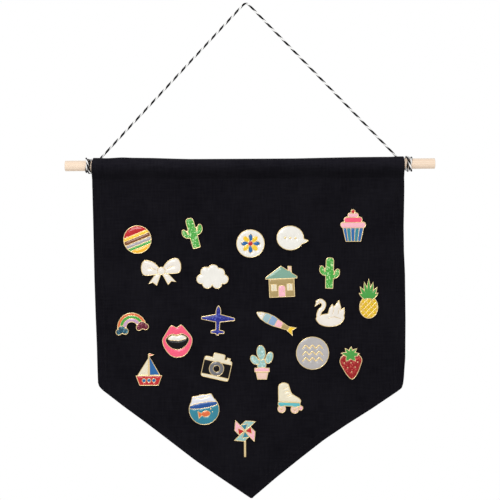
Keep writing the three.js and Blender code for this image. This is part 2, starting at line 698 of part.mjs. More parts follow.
function swan() {
  const body = smooth([
    [-13.4, -5], [-10.6, -10.6], [-4, -13.4], [4.6, -13.4], [11.2, -10.4], [14.4, -4.6], [11.6, -0.4], [2, -0.4],
    [-7, -1.6],
  ]);
  const neck = stroke([
    [-6.4, -7], [-10.6, -3.6], [-9.6, 1.2], [-6.2, 5], [-5.6, 9], [-8.4, 11.4], [-11.4, 10.2],
  ], 4.4);
  const bill = corners([-12.4, 11.8], [-14.6, 5.4], [-10.4, 8.2]);
  const feathers = [
    leaf(1.6, -6, 2.8, 8.6, 8), leaf(5.4, -6, 9.2, 12.2, 9), leaf(8, -7, 14.4, 5, 7.6),
  ];
  const vane = stroke([[-1.4, -5.6], [4.4, -4], [10.4, -5.8]], LINE_WIDTH);
  const quills = [[[3, -1.6], [4, 3]], [[8, -1.8], [9.4, 4.4]]].map((line) => stroke(line, LINE_WIDTH));
  return { outline: [body, neck, bill, ...feathers], raised: [vane, ...quills, disc(-9.8, 10.4, 0.7)] };
}

function sailboat() {
  const hull = corners([-12.8, -5.6], [12.8, -5.6], [9.2, -15.4], [-9.2, -15.4]);
  const mast = box(-0.7, -8, 0.7, 15);
  const left = corners([-0.4, 11.4], [-11.6, -6.1], [-0.4, -6.1]);
  const right = corners([0.4, 13], [0.4, -6.1], [11.4, -6.1]);
  const flag = corners([0, 15.8], [0, 12.4], [5.6, 14.4]);
  const ports = [-4.8, 0, 4.8].map((x) => [disc(x, -10.4, 1.6)]);
  const outline = [hull, mast, left, right, flag];
  return { outline, cells: [[left], [right], [flag], [hull], ...ports], ground: false };
}

function camera() {
  const body = rounded(box(-13.8, -12.2, 13.8, 8.4), [3, 3, 3, 3]);
  const hump = rounded(box(-6, 5, 6, 13), [0, 0, 2, 2]);
  const button = box(7.6, 6, 11.4, 10.6);
  const glass = disc(0, -2, 6.8);
  const pupil = disc(0, -2, 3);
  const band = box(-16, -8.8, 16, 4.2);
  return { outline: [body, hump, button], cells: [[band], [glass], [pupil]] };
}

function potted() {
  const pads = [
    ellipse(-0.4, -1.6, 4.8, 6.4), ellipse(-0.8, 9.4, 4.5, 7.2, 6),
    ellipse(-7.2, 2.2, 3.7, 5.4, 36), ellipse(7, 4.2, 3.7, 6.2, -20),
  ];
  const rim = box(-7.4, -9.6, 7.4, -5.4);
  const pot = corners([-6.2, -9.6], [-4.6, -16.8], [4.6, -16.8], [6.2, -9.6]);
  const spines = [[-1, 11.6], [-1.6, 6.6], [-7.8, 3], [7.2, 5], [0.6, -0.6]];
  const dots = spines.map(([x, y]) => disc(x, y, 0.5));
  const cells = [...pads.map((pad) => [pad]), [pot], [rim]];
  return { outline: [...pads, rim, pot], cells, ground: false, raised: dots };
}

function waves() {
  const line = (y) => [-9.6, -6.4, -3.2, 0, 3.2, 6.4, 9.6].map((x, i) => [x, y + (i % 2 ? 1.6 : -1.6)]);
  const raised = [6, 0, -6].map((y) => stroke(line(y), 1.3));
  return { outline: [disc(0, 0, 16)], raised };
}

function strawberry() {
  const body = smooth([
    [-11, 3], [-8, 7.8], [0, 8.6], [8, 7.8], [11, 3],
    [8.2, -5.6], [3, -14], [0, -15.8], [-3, -14], [-8.2, -5.6],
  ]);
  const tips = [[-9.4, 10.4], [-5, 15.2], [1.4, 16.4], [7, 14], [9.4, 8.6], [4, 2.2], [-4.4, 2.6]];
  const leaves = [...tips.map(([x, y]) => leaf(0, 8.2, x, y, 4.2)), disc(0, 8.2, 3.6)];
  const seeds = [[-6.6, 0.6], [0, 0.4], [6.6, 0.6], [-3.6, -4], [3.6, -4], [0, -8.4]];
  const drops = seeds.map(([x, y]) => ellipse(x, y, 0.5, 0.9));
  return { outline: [body, ...leaves], cells: [leaves], raised: drops };
}

function fishbowl() {
  const bowl = disc(0, -1.2, 14.8);
  const neck = corners([-12, 6.4], [12, 6.4], [9.4, 13], [-9.4, 13]);
  const mouth = stroke([[-7.4, 10.8], [0, 9.8], [7.4, 10.8]], LINE_WIDTH);
  const surface = ellipse(0, 3, 14, 2.6);
  const water = box(-16, -18, 16, 3);
  const goldfish = [ellipse(1, -5.4, 4, 2.6), corners([-2, -5.4], [-6, -2.6], [-6, -8.2])];
  const bubbles = [[6.4, -1.6, 0.8], [7.6, -4.6, 0.6]].map(([x, y, r]) => disc(x, y, r));
  const raised = [mouth, ...bubbles];
  return { outline: [bowl, neck], cells: [[water], [surface], goldfish], raised };
}

function skate() {
  const boot = smooth([
    [-10.2, 12], [-5.4, 14.4], [-0.8, 12.8], [0.6, 8.4], [3.4, 3.6], [8.4, 1],
    [11.6, -1.6], [11.6, -4.6], [1, -5], [-9.4, -4.8], [-10.4, 2], [-11, 7.6],
  ]);
  const plate = rounded(box(-10.4, -8.6, 11.6, -4.4), [1.6, 1.6, 1.6, 1.6]);
  const wheels = [-6.4, 6.2].map((x) => disc(x, -11.2, 4.2));
  const stop = disc(11.8, -9.6, 2.6);
  const eyelets = [[-1.2, 9.8], [0.4, 6.4], [2.8, 3]];
  const laces = eyelets.map(([x, y]) => stroke([[x - 4.4, y - 1.8], [x, y]], LINE_WIDTH));
  const hubs = [-6.4, 6.2].map((x) => disc(x, -11.2, 1.2));
  const cells = [[boot], [stop], ...wheels.map((wheel) => [wheel]), [plate]];
  return { outline: [boot, plate, ...wheels, stop], cells, ground: false, raised: [...laces, ...hubs] };
}

function pinwheel() {
  const hub = new THREE.Vector2(0, 7.4);
  const turned = (loop, k) => loop.map((p) => p.clone().rotateAround(new THREE.Vector2(), (k * Math.PI) / 2));
  const set = (loop, k) => turned(loop, k).map((p) => p.add(hub));
  const vane = corners([0.6, -0.6], [10.8, 9.2], [0.6, 10.2], [-4.4, 5.4], [-0.6, 0.6]);
  const fold = corners([-0.2, 0.2], [2.2, 6.4], [-4.4, 5.4]);
  const vanes = [0, 1, 2, 3].map((k) => set(vane, k));
  const folds = [0, 1, 2, 3].map((k) => [set(fold, k)]);
  const stick = box(-1, -17.6, 1, 7);
  const outline = [...vanes, stick, disc(hub.x, hub.y, 2)];
  const cells = [...vanes.map((loop) => [loop]), ...folds];
  return { outline, cells, ground: false, raised: [disc(hub.x, hub.y, 1.5)] };
}

// Layout of the pins: place across as a share of the cloth's width, drop below the dowel's axis, and lean

const PINS = [
  ["stripe", stripes(), [-0.3567, 71.3], 0],
  ["leaning_cactus", cactus(30.2, 10.4, 9.2, 8), [-0.1787, 65.6], 15],
  ["rosette", rosette(), [0.006, 75.9], 0],
  ["bubble", bubble(), [0.141, 70.9], -3],
  ["cupcake", cupcake(), [0.3357, 59.2], 0],
  ["bow", bow(), [-0.2803, 102.8], 4],
  ["cloud", cloud(), [-0.1167, 107.4], 0],
  ["house", house(), [0.1047, 112.6], 2],
  ["upright_cactus", cactus(30.4, 10, 8, 10.6), [0.259, 104.8], -2],
  ["pineapple", pineapple(), [0.3837, 129.6], 0],
  ["rainbow", rainbow(), [-0.3793, 150.8], 10],
  ["lips", lips(), [-0.2307, 169.3], 3],
  ["aeroplane", aeroplane(), [-0.1, 149.9], -3],
  ["fish", fish(), [0.0873, 152.2], -27],
  ["swan", swan(), [0.2583, 142.9], 0],
  ["sailboat", sailboat(), [-0.3227, 196.6], 0],
  ["camera", camera(), [-0.1043, 194.2], -13],
  ["potted", potted(), [0.0403, 190.1], 0],
  ["wave", waves(), [0.2027, 181.8], 0],
  ["strawberry", strawberry(), [0.326, 191.7], 4],
  ["fishbowl", fishbowl(), [-0.147, 234.2], 9],
  ["skate", skate(), [0.1257, 224.3], -3],
  ["pinwheel", pinwheel(), [-0.016, 263.7], 0],
];

part.add(dowel(), hitch("left_hitch", -1), hitch("right_hitch", 1), hangingCord());
const pins = PINS.map(([name, drawing, at, lean]) => ({ name, ...badge(name, drawing, at, lean) }));
part.add(bannerCloth(pins.map((pin) => pin.place)));
for (const pin of pins) part.add(pin.stand, clutch(pin.name, pin.place));

export default part;
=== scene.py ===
import json
import math

import bmesh
import bpy
import numpy as np
from mathutils import Matrix, Vector
from mathutils.geometry import delaunay_2d_cdt


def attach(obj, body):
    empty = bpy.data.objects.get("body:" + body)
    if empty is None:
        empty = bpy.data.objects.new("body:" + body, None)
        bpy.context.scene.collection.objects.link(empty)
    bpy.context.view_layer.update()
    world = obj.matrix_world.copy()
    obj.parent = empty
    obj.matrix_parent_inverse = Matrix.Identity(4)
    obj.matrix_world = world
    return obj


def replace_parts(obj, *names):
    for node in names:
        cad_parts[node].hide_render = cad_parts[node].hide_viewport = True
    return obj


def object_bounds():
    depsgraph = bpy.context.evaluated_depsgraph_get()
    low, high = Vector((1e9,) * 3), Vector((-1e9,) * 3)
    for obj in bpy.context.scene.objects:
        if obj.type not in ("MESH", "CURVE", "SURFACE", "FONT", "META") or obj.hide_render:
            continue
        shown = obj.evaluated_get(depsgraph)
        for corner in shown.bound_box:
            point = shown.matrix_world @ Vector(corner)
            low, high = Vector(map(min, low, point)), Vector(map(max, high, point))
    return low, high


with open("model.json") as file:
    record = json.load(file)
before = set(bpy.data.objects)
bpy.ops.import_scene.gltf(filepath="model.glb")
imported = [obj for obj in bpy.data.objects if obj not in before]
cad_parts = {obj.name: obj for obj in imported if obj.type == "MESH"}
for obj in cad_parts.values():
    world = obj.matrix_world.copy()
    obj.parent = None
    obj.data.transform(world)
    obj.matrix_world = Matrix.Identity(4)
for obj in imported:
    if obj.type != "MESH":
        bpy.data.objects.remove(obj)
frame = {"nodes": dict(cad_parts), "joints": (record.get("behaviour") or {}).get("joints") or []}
cad_low, cad_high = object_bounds()
scene = bpy.context.scene
scene.view_settings.view_transform = "Standard"

# Camera: square on to the banner through a long lens, with a picture 481.7 mm wide at the cloth.
# It is rolled a little, so that the dowel rises to the right by 0.4 degrees.
MM = 0.001
PICTURE_WIDTH = 481.7 * MM
PICTURE_MIDDLE = Vector((1.28, -8.44, -237.7)) * MM
CAMERA_ROLL = math.radians(0.386)

camera = bpy.data.objects.new("camera", bpy.data.cameras.new("camera"))
scene.collection.objects.link(camera)
camera.data.lens = 100
camera.data.sensor_width = 36
camera_right = Vector((math.cos(CAMERA_ROLL), 0, -math.sin(CAMERA_ROLL)))
camera_up = Vector((math.sin(CAMERA_ROLL), 0, math.cos(CAMERA_ROLL)))
camera_back = Vector((0, -1, 0))
camera_distance = PICTURE_WIDTH * camera.data.lens / camera.data.sensor_width
camera_turn = Matrix((camera_right, camera_up, camera_back)).transposed().to_4x4()
camera.matrix_world = Matrix.Translation(PICTURE_MIDDLE + camera_back * camera_distance) @ camera_turn
scene.camera = camera


# Twine: a black and a white cotton yarn laid together. It runs taut over a nail, passes behind the
# cloth, and ends in a clove hitch round each end of the dowel, beside the pocket's mouth.
DOWEL_Y = -8.8
DOWEL_Z = -155.6
TWINE_DIAMETER = 2.0
# Length in which the two yarns turn once round each other, to the left: in the left hitch, from there
# to the nail, and from the nail on
TWINE_LAYS = (12.0, 10.8, 12.0)
NAIL_TOP = (-1.0, 0, 1.2)  # the twine lies a little to the left on the nail
NAIL_BEND = 4.0
HITCH_CENTRE = {-1: -153.6, 1: 154.6}  # on the left and on the right
HITCH_PITCH = {-1: 2.2, 1: 2.6}
HITCH_RADIUS = 6.0  # the twine is pulled tight, and flattens to 1.8 mm
HITCH_LIFT = 1.7  # where it crosses itself
LEAD_RADIUS = 9.2  # it comes down clear of the pocket, which turns on the dowel
HITCH_FLAT = 0.9  # share of its thickness
HITCH_TAPER = 12.0  # length in which it flattens
# Degrees round the dowel: the ends of a hitch, where its lead moves sideways and comes in, where its
# first and last strands move to the sides, and where the middle one crosses them, rises and falls
HITCH_START, HITCH_END, HITCH_STEP = 15, 990, 5
LEAD_SIGHT = 2  # over which the lead takes its direction
LEAD_ACROSS, LEAD_IN = (15, 90), (15, 115)
FIRST_STRAND, CROSSING, LAST_STRAND = (90, 270), (440, 640), (810, 990)
CROSSING_RISE, CROSSING_FALL = (415, 490), (590, 665)
LEAD_SIDE = 0.45  # share of a pitch from the lead to the hitch's middle
# Points on the lead by their distance before the hitch: in the hitch's node, and in the free stretch
HITCH_LEAD = (2, 1.5, 1, 0.5)
FREE_LEAD = (4.3, 2.3)
RUN_FEET = {-1: -149.3, 1: 150.1}  # where the straight run ends, behind the cloth
RUN_DROP = -154.6
TWINE_STEP = 0.5
TWINE_SMOOTHINGS = 6
TWINE_START = 0.35  # turns from where the black yarn faces the front, left of the nail, to its top
NAIL_TWIST = 0.2  # turns that the bend over the nail adds
YARN_CUTS = (-0.3, 0.38)  # where the fuller black yarn and the white one are flat against each other
YARN_POINTS = 9  # round its arc
YARN_EASE = 0.92  # of its two corners
YARN_FACE = 0.4  # width of a face round the yarn


def ease(a, low, high):
    """0 below a span, 1 above it, and a smooth rise between."""
    t = min(max((a - low) / (high - low), 0), 1)
    return t * t * (3 - 2 * t)


def hitch_point(a, side):
    """Down the dowel's back and up its front; the second strand crosses over the others in front."""
    lead = -LEAD_SIDE * side * (1 - ease(a, *LEAD_ACROSS))
    place = ease(a, *FIRST_STRAND) - 2 * ease(a, *CROSSING) + ease(a, *LAST_STRAND) + lead
    away = (1 - ease(a, *LEAD_IN)) * (LEAD_RADIUS - HITCH_RADIUS)
    lift = HITCH_LIFT * (ease(a, *CROSSING_RISE) - ease(a, *CROSSING_FALL))
    radius = HITCH_RADIUS + away + lift
    x = HITCH_CENTRE[side] + HITCH_PITCH[side] * place
    turn = math.radians(a)
    return np.array((x, DOWEL_Y + radius * math.cos(turn), DOWEL_Z - radius * math.sin(turn)))


def lead_point(side, distance):
    """A place on the straight lead, at a distance before the hitch."""
    start = hitch_point(HITCH_START, side)
    along = hitch_point(HITCH_START + LEAD_SIGHT, side) - start
    return start - along / np.linalg.norm(along) * distance


def hitch_line(side):
    """From the end of the free stretch to the hitch's cut end."""
    line = [lead_point(side, distance) for distance in HITCH_LEAD]
    line += [hitch_point(a, side) for a in range(HITCH_START, HITCH_END + 1, HITCH_STEP)]
    along = line[-1] - line[-2]
    return line + [line[-1] + along / np.linalg.norm(along) * TWINE_DIAMETER]


def free_line(side):
    """From the top of the nail to the hitch."""
    top = np.array(NAIL_TOP)
    foot = np.array((RUN_FEET[side], 0, RUN_DROP))
    slope = math.atan2(top[2] - foot[2], side * (foot[0] - top[0]))
    line = []
    for turn in np.linspace(0, slope, 8):
        drop = NAIL_BEND * (1 - math.cos(turn))
        line.append(top + (side * NAIL_BEND * math.sin(turn), 0, -drop))
    line += [line[-1] + (foot - line[-1]) * share for share in np.linspace(0.01, 1, 100)]
    return line + [lead_point(side, distance) for distance in FREE_LEAD]


def along_line(line):
    """How far along a line each of its points lies."""
    lengths = np.linalg.norm(np.diff(line, axis=0), axis=1)
    return np.concatenate([[0], np.cumsum(lengths)])


left_free, right_free = free_line(-1), free_line(1)
left_hitch, right_hitch = hitch_line(-1), hitch_line(1)
twine_line = np.array(left_hitch[::-1] + left_free[::-1] + right_free[1:] + right_hitch)
lengths = along_line(twine_line)
twine_count = round(lengths[-1] / TWINE_STEP)
places = np.linspace(0, lengths[-1], twine_count + 1)
twine_line = np.stack([np.interp(places, lengths, twine_line[:, k]) for k in range(3)], axis=1)
for _ in range(TWINE_SMOOTHINGS):
    twine_line[1:-1] = (twine_line[:-2] + 2 * twine_line[1:-1] + twine_line[2:]) / 4
left_joint = round(along_line(np.array(left_hitch))[-1] / TWINE_STEP)
right_joint = twine_count - round(along_line(np.array(right_hitch))[-1] / TWINE_STEP)

# A frame carried along the line without turning about it, so that the lay alone turns the yarns
tangents = np.gradient(twine_line, axis=0)
tangents /= np.linalg.norm(tangents, axis=1)[:, None]
side_way = np.array((0.0, 1.0, 0.0))
side_ways = []
for tangent in tangents:
    side_way = side_way - tangent * side_way.dot(tangent)
    side_way = side_way / np.linalg.norm(side_way)
    side_ways.append(side_way)
side_ways = np.array(side_ways)
up_ways = np.cross(tangents, side_ways)
nail = int(np.argmax(twine_line[:, 2]))
facing = math.atan2(-up_ways[nail][1], -side_ways[nail][1])  # turn that faces the front
lay_places = np.array((0, left_joint, nail, twine_count))
lay_turns = np.concatenate([[0], np.cumsum(np.diff(lay_places) * TWINE_STEP / TWINE_LAYS)])


def lay_turn(i):
    """How far the yarns have turned at a point of the line, counted from the nail."""
    turns = TWINE_START + np.interp(i, lay_places, lay_turns - lay_turns[2])
    turns += NAIL_TWIST * (ease((i - nail) * TWINE_STEP, -NAIL_BEND, NAIL_BEND) - 1)
    return facing - 2 * math.pi * turns


def linear(colour):
    """An sRGB hex colour as Blender's linear one."""
    parts = [int(colour[i:i + 2], 16) / 255 for i in (1, 3, 5)]
    return (*[c / 12.92 if c <= 0.04045 else ((c + 0.055) / 1.055) ** 2.4 for c in parts], 1)


def set_inputs(tree, made, inputs):
    """Fills a node's inputs, each with a value, a socket, or a node's first output in use."""
    for key, value in inputs.items():
        if isinstance(value, bpy.types.Node):
            value = next(output for output in value.outputs if output.enabled)
        if isinstance(value, bpy.types.NodeSocket):
            tree.links.new(value, made.inputs[key])
        else:
            made.inputs[key].default_value = value


def node(tree, kind, inputs=None, **settings):
    """Adds a node with its settings and links."""
    made = tree.nodes.new(kind)
    for key, value in settings.items():
        setattr(made, key, value)
    set_inputs(tree, made, inputs or {})
    return made


def new_material(name):
    """A material, its tree of nodes and its shader."""
    material = bpy.data.materials.new(name)
    material.use_nodes = True
    return material, material.node_tree, material.node_tree.nodes["Principled BSDF"]


def cotton_yarn(name, colour, shade):
    """Cotton: matt, with fine plies that wind round the yarn, 0.5 mm apart."""
    material, tree, shader = new_material(name)
    lay = node(tree, "ShaderNodeUVMap", uv_map="lay")
    turned = node(tree, "ShaderNodeMapping", {"Vector": lay, "Rotation": (0, 0, 0.6)})
    plies = node(tree, "ShaderNodeTexWave", {
        "Vector": turned, "Scale": math.pi / 10 / (0.5 * MM),
        "Distortion": 1.5, "Detail": 1.0, "Detail Scale": 1.0})
    fibres = node(tree, "ShaderNodeTexNoise", {"Vector": lay, "Scale": 1 / (0.7 * MM), "Detail": 3.0})
    mixed = node(tree, "ShaderNodeMix", {
        "Factor": fibres, "A": linear(shade), "B": linear(colour)}, data_type="RGBA")
    height = node(tree, "ShaderNodeMath", {0: plies.outputs["Fac"], 1: fibres}, operation="ADD")
    bump = node(tree, "ShaderNodeBump", {"Height": height, "Distance": 0.06 * MM, "Strength": 0.8})
    set_inputs(tree, shader, {
        "Base Color": mixed, "Normal": bump, "Roughness": 0.9,
        "Specular IOR Level": 0.15, "Sheen Weight": 0.05})
    return material


black_yarn = cotton_yarn("black_cotton_yarn", "#0f0f11", "#08080a")
white_yarn = cotton_yarn("white_cotton_yarn", "#fdfdfc", "#f1f0ee")


def twine_radius(i):
    """The twine thins from the free stretch into the hitches."""
    into = max(left_joint - i, i - right_joint) * TWINE_STEP
    return TWINE_DIAMETER / 2 * (1 - (1 - HITCH_FLAT) * ease(into, 0, HITCH_TAPER))


def yarn_section(cut):
    """A disc with a flat at a share of its radius, and its corners there eased."""
    reach = math.acos(cut)
    arc = [(math.cos(a), math.sin(a)) for a in np.linspace(-reach, reach, YARN_POINTS)]
    eased = [(YARN_EASE * u, YARN_EASE * v) for u, v in (arc[0], arc[-1])]
    return [(cut, 0), eased[0]] + arc[1:-1] + [eased[1]]


def mesh_piece(name, points, faces):
    """A new piece from its points and faces."""
    mesh = bpy.data.meshes.new(name)
    mesh.from_pydata(points, [], faces)
    piece = bpy.data.objects.new(name, mesh)
    scene.collection.objects.link(piece)
    return piece


def laid_twine(name, first, last):
    """The two yarns of one stretch of the line, winding round each other."""
    points, faces, uvs, slots = [], [], [], []
    for yarn in (0, 1):
        base = len(points)
        section = yarn_section(YARN_CUTS[yarn])
        sides = len(section)
        for i in range(first, last + 1):
            turn = lay_turn(i) + math.pi * yarn
            out = math.cos(turn) * side_ways[i] + math.sin(turn) * up_ways[i]
            across = np.cross(tangents[i], out)
            for u, v in section:
                points.append((twine_line[i] + twine_radius(i) * (u * out + v * across)) * MM)
        rings = last - first
        for i in range(rings):
            for k in range(sides):
                a, b = base + i * sides + k, base + i * sides + (k + 1) % sides
                faces.append((a, b, b + sides, a + sides))
                u, v = i * TWINE_STEP * MM, k * YARN_FACE * MM
                du, dv = TWINE_STEP * MM, YARN_FACE * MM
                uvs += [(u, v), (u, v + dv), (u + du, v + dv), (u + du, v)]
                slots.append(yarn)
        ends = base + rings * sides
        faces.append(tuple(base + k for k in reversed(range(sides))))
        faces.append(tuple(ends + k for k in range(sides)))
        uvs += [(0, 0)] * (2 * sides)
        slots += [yarn, yarn]
    piece = mesh_piece(name, points, faces)
    mesh = piece.data
    layer = mesh.uv_layers.new(name="lay")
    layer.data.foreach_set("uv", [c for uv in uvs for c in uv])
    mesh.materials.append(black_yarn)
    mesh.materials.append(white_yarn)
    mesh.polygons.foreach_set("material_index", slots)
    mesh.polygons.foreach_set("use_smooth", [True] * len(faces))
    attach(piece, "hanger")
    return piece


left_hitch_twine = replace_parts(laid_twine("left_hitch_twine", 0, left_joint), "left_hitch")
right_hitch_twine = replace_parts(laid_twine("right_hitch_twine", right_joint, twine_count), "right_hitch")
hanging_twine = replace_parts(laid_twine("hanging_twine", left_joint, right_joint), "hanging_cord")


# Dowel: a 10 mm birch rod, turned, sanded and left bare, with its sawn ends eased. The cloth's
# pocket and the two hitches sit on it.
DOWEL_DIAMETER = 10.0
DOWEL_LENGTH = 356.0
DOWEL_SHIFT = 1.8
DOWEL_EASE = 0.6
SAWN_RIM = 1.2
SAWN_DISH = (1.6, 0.08)  # width of the slope and depth of the hollow that the saw leaves
PITH_Y, PITH_Z = -11.0, -152.5  # the rings' middle, beside the rod's axis


def pick(piece, test, kind="FACE"):
    """In edit mode, selects the faces or edges that pass a test."""
    bpy.ops.mesh.select_mode(type=kind)
    bpy.ops.mesh.select_all(action="DESELECT")
    mesh = bmesh.from_edit_mesh(piece.data)
    for element in mesh.faces if kind == "FACE" else mesh.edges:
        if test(element):
            element.select_set(True)
    bmesh.update_edit_mesh(piece.data)


def set_down(piece, name):
    """Names a new piece and puts its place and turn into its mesh."""
    piece.name = piece.data.name = name
    bpy.ops.object.transform_apply(location=True, rotation=True, scale=True)
    return piece


bpy.ops.object.select_all(action="DESELECT")
bpy.ops.mesh.primitive_cylinder_add(
    vertices=48, radius=DOWEL_DIAMETER / 2 * MM, depth=DOWEL_LENGTH * MM,
    location=(DOWEL_SHIFT * MM, DOWEL_Y * MM, DOWEL_Z * MM), rotation=(0, math.pi / 2, 0))
dowel = set_down(bpy.context.active_object, "birch_dowel")
bpy.ops.object.mode_set(mode="EDIT")
pick(dowel, lambda face: abs(face.normal.x) > 0.9)
bpy.ops.mesh.bevel(offset=DOWEL_EASE * MM, segments=3, affect="EDGES")
pick(dowel, lambda face: abs(face.normal.x) > 0.99)
bpy.ops.mesh.inset(thickness=SAWN_RIM * MM, use_individual=True)
bpy.ops.mesh.inset(thickness=SAWN_DISH[0] * MM, depth=-SAWN_DISH[1] * MM, use_individual=True)
bpy.ops.object.mode_set(mode="OBJECT")
bpy.ops.object.shade_smooth_by_angle(angle=math.radians(35))

# Birch: pale and close-grained. Fibres run along the rod, with pores a few millimetres long, and the
# yearly rings show on the sawn ends, 1.5 mm apart.
birch, tree, shader = new_material("bare_birch")
point = node(tree, "ShaderNodeTexCoord").outputs["Object"]
fibre_point = node(tree, "ShaderNodeMapping", {"Vector": point, "Scale": (0.03, 1, 1)})
fibres = node(tree, "ShaderNodeTexNoise", {
    "Vector": fibre_point, "Scale": 1 / (1.1 * MM), "Detail": 4.0, "Roughness": 0.6})
pore_point = node(tree, "ShaderNodeMapping", {"Vector": point, "Scale": (0.12, 1, 1)})
pores = node(tree, "ShaderNodeTexNoise", {
    "Vector": pore_point, "Scale": 1 / (0.35 * MM), "Detail": 2.0})
ring_point = node(tree, "ShaderNodeMapping", {
    "Vector": point, "Location": (0, -PITH_Y * MM, -PITH_Z * MM), "Scale": (0.05, 1, 1)})
rings = node(tree, "ShaderNodeTexWave", {
    "Vector": ring_point, "Scale": math.pi / 10 / (1.5 * MM), "Distortion": 2.0,
    "Detail": 2.0, "Detail Scale": 0.4}, wave_type="RINGS", rings_direction="X")
grain = node(tree, "ShaderNodeMath", {
    0: fibres, 1: rings.outputs["Fac"], 2: 0.1}, operation="MULTIPLY_ADD")
tone = node(tree, "ShaderNodeValToRGB", {"Fac": grain})
for stop, (place, colour) in zip(tone.color_ramp.elements, ((0.05, "#f8e3cd"), (0.85, "#efd3b7"))):
    stop.position, stop.color = place, linear(colour)
pore_mark = node(tree, "ShaderNodeMapRange", {
    "Value": pores, "From Min": 0.62, "From Max": 0.72, "To Max": 0.25})
wood_colour = node(tree, "ShaderNodeMix", {
    "Factor": pore_mark, "A": tone, "B": linear("#c99f78")}, data_type="RGBA")
bump = node(tree, "ShaderNodeBump", {"Height": fibres, "Distance": 0.05 * MM, "Strength": 0.5})
set_inputs(tree, shader, {
    "Base Color": wood_colour, "Normal": bump, "Roughness": 0.62, "Specular IOR Level": 0.3})
dowel.data.materials.append(birch)
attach(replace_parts(dowel, "dowel"), "hanger")


# Cloth: black cotton canvas, cut as a pennant, its sides and slanting edges turned in and sewn. The
# top goes over the dowel, front to back, and is sewn down behind as a pocket.
CLOTH_THICKNESS = 1.0
CLOTH_REACH = 150.0  # from the hang point to each side
POCKET_CLOTH = 0.75  # the cloth is drawn thinner round the dowel
POCKET_FIT = 5.06  # inside of the pocket, from the dowel's axis
MOUTH_HEM = 0.6
MOUTH_FLARE = (0.5, 0.3)  # left and right mouth
MOUTH_LENGTH = 18.0
MOUTH_SLOPE = (1.3, 0.4)  # the mouths lean in at the top
MOUTH_TOP = (0.32, 0.5)  # shares of the way round the pocket between which they do
MOUTH_HEM_START = (4, 12)  # distances from a seam between which their hem begins
# Rise of the pocket's top off the dowel along it, where the stiff hems in its mouths hold it up
TOP_RISE = [
    (-150, 0.7), (-140, 1.1), (-122, 2.2), (-110, 1.7), (-92, 1.4), (-71, 0.6), (-55, 0.1), (45, 0),
    (73, 0.5), (102, 0.9), (130, 1), (142, 0.7), (150, 0.4)]
PANEL_Y = 0.86  # middle of the cloth, behind the dowel's axis
SEAM_DROP = 13.4
POCKET_FLAP = 8.0
POCKET_ROUND = 46.0  # cloth in the pocket, from seam to seam
POCKET_FLANK = 0.27  # share of it from a seam to where it meets the dowel
POCKET_THINNING = 8.0  # length from a seam in which it thins
POCKET_EDGE = 0.6  # share of the seam's drop over which its sides follow the edges below
HEM_WIDTH = 9.0
HEM_THICKNESS = 1.0
HEM_SLANT = 0.68  # how much wider it is along a row on the slant
HEM_LIMIT = 0.4  # at most this share of a row, near the tip
HEM_STEP = (0.97, 1.03)  # shares of its width between which it ends
EDGE_BULGE = 0.35  # the folded edges are round
CORNER_DROPS = (212.2, 216.1)
CORNER_TURN = (-3, 4)  # drops about a corner over which its hem turns
TIP_DROP = 321.1
# Edges of the hung cloth as distance right of the hang point at each drop below the dowel's axis. The
# right-hand slant is hollow by 5 mm.
LEFT_EDGE = [
    (-9, -150.2), (9, -150.2), (33, -149.9), (72, -149.2), (110, -148.6), (144, -147.7), (173, -146.7),
    (202, -146), (209, -145.7), (212.6, -144.6), (216, -141.6), (232.3, -121.1), (249.3, -98.1),
    (267, -75.1), (284.9, -52.1), (301, -29.1), (316.5, -6.1), (321.1, 0.6)]
RIGHT_EDGE = [
    (-9, 149.8), (11, 150), (25, 150.2), (60, 149.3), (83, 149.4), (106, 150.3), (152, 150.5),
    (187, 149.9), (199, 148.9), (206, 148.4), (212, 147.6), (216.1, 146.2), (220, 141), (235.6, 117.8),
    (250, 94.6), (265.5, 71.3), (283.4, 48.1), (301.5, 24.9), (320, 2.6), (321.1, 1.8)]
# How it hangs: free of a pin and of the seam over these distances, in waves of a height, a length across
# and a length down, with its sides and its tip curled forward over these places
PIN_HOLD, SEAM_HOLD = (16, 34), 50
LONG_WAVE, SHORT_WAVE, WAVE_SWAY = (0.45, 31, 70), (0.3, 13, 90), 0.8
SIDE_CURL, SIDE_REACH, SIDE_DROPS = 1.3, (120, 150), (150, 215)
TIP_CURL, TIP_DROPS = 1.2, (285, 321)
pin_joints = [joint for joint in frame["joints"] if joint["name"].endswith("_turn")]
pin_places = np.array([joint["pos_m"] for joint in pin_joints])[:, [0, 2]] / MM


def edge_at(edge, drop):
    """How far right of the hang point an edge lies at a drop."""
    return float(np.interp(drop, [d for d, _ in edge], [x for _, x in edge]))


def hem_reach(side, drop):
    """Width of the turned-in edge along a row: more on the slant, where the row crosses it aslant."""
    slant = ease(drop, *[CORNER_DROPS[side] + turn for turn in CORNER_TURN])
    return HEM_WIDTH * (1 + HEM_SLANT * slant)


def hang(x, drop):
    """How far the hung cloth stands out of its plane: soft waves between the pins, edges that curl."""
    room = np.min(np.linalg.norm(pin_places - (x, DOWEL_Z - drop), axis=1))
    free = ease(room, *PIN_HOLD) * ease(drop, SEAM_DROP, SEAM_HOLD)
    waves = LONG_WAVE[0] * math.sin(x / LONG_WAVE[1] + WAVE_SWAY * math.sin(drop / LONG_WAVE[2]))
    waves += SHORT_WAVE[0] * math.sin(x / SHORT_WAVE[1] + drop / SHORT_WAVE[2] + 1)
    side_curl = SIDE_CURL * ease(abs(x), *SIDE_REACH) * ease(drop, *SIDE_DROPS)
    return free * (waves - (side_curl + TIP_CURL * ease(drop, *TIP_DROPS)))


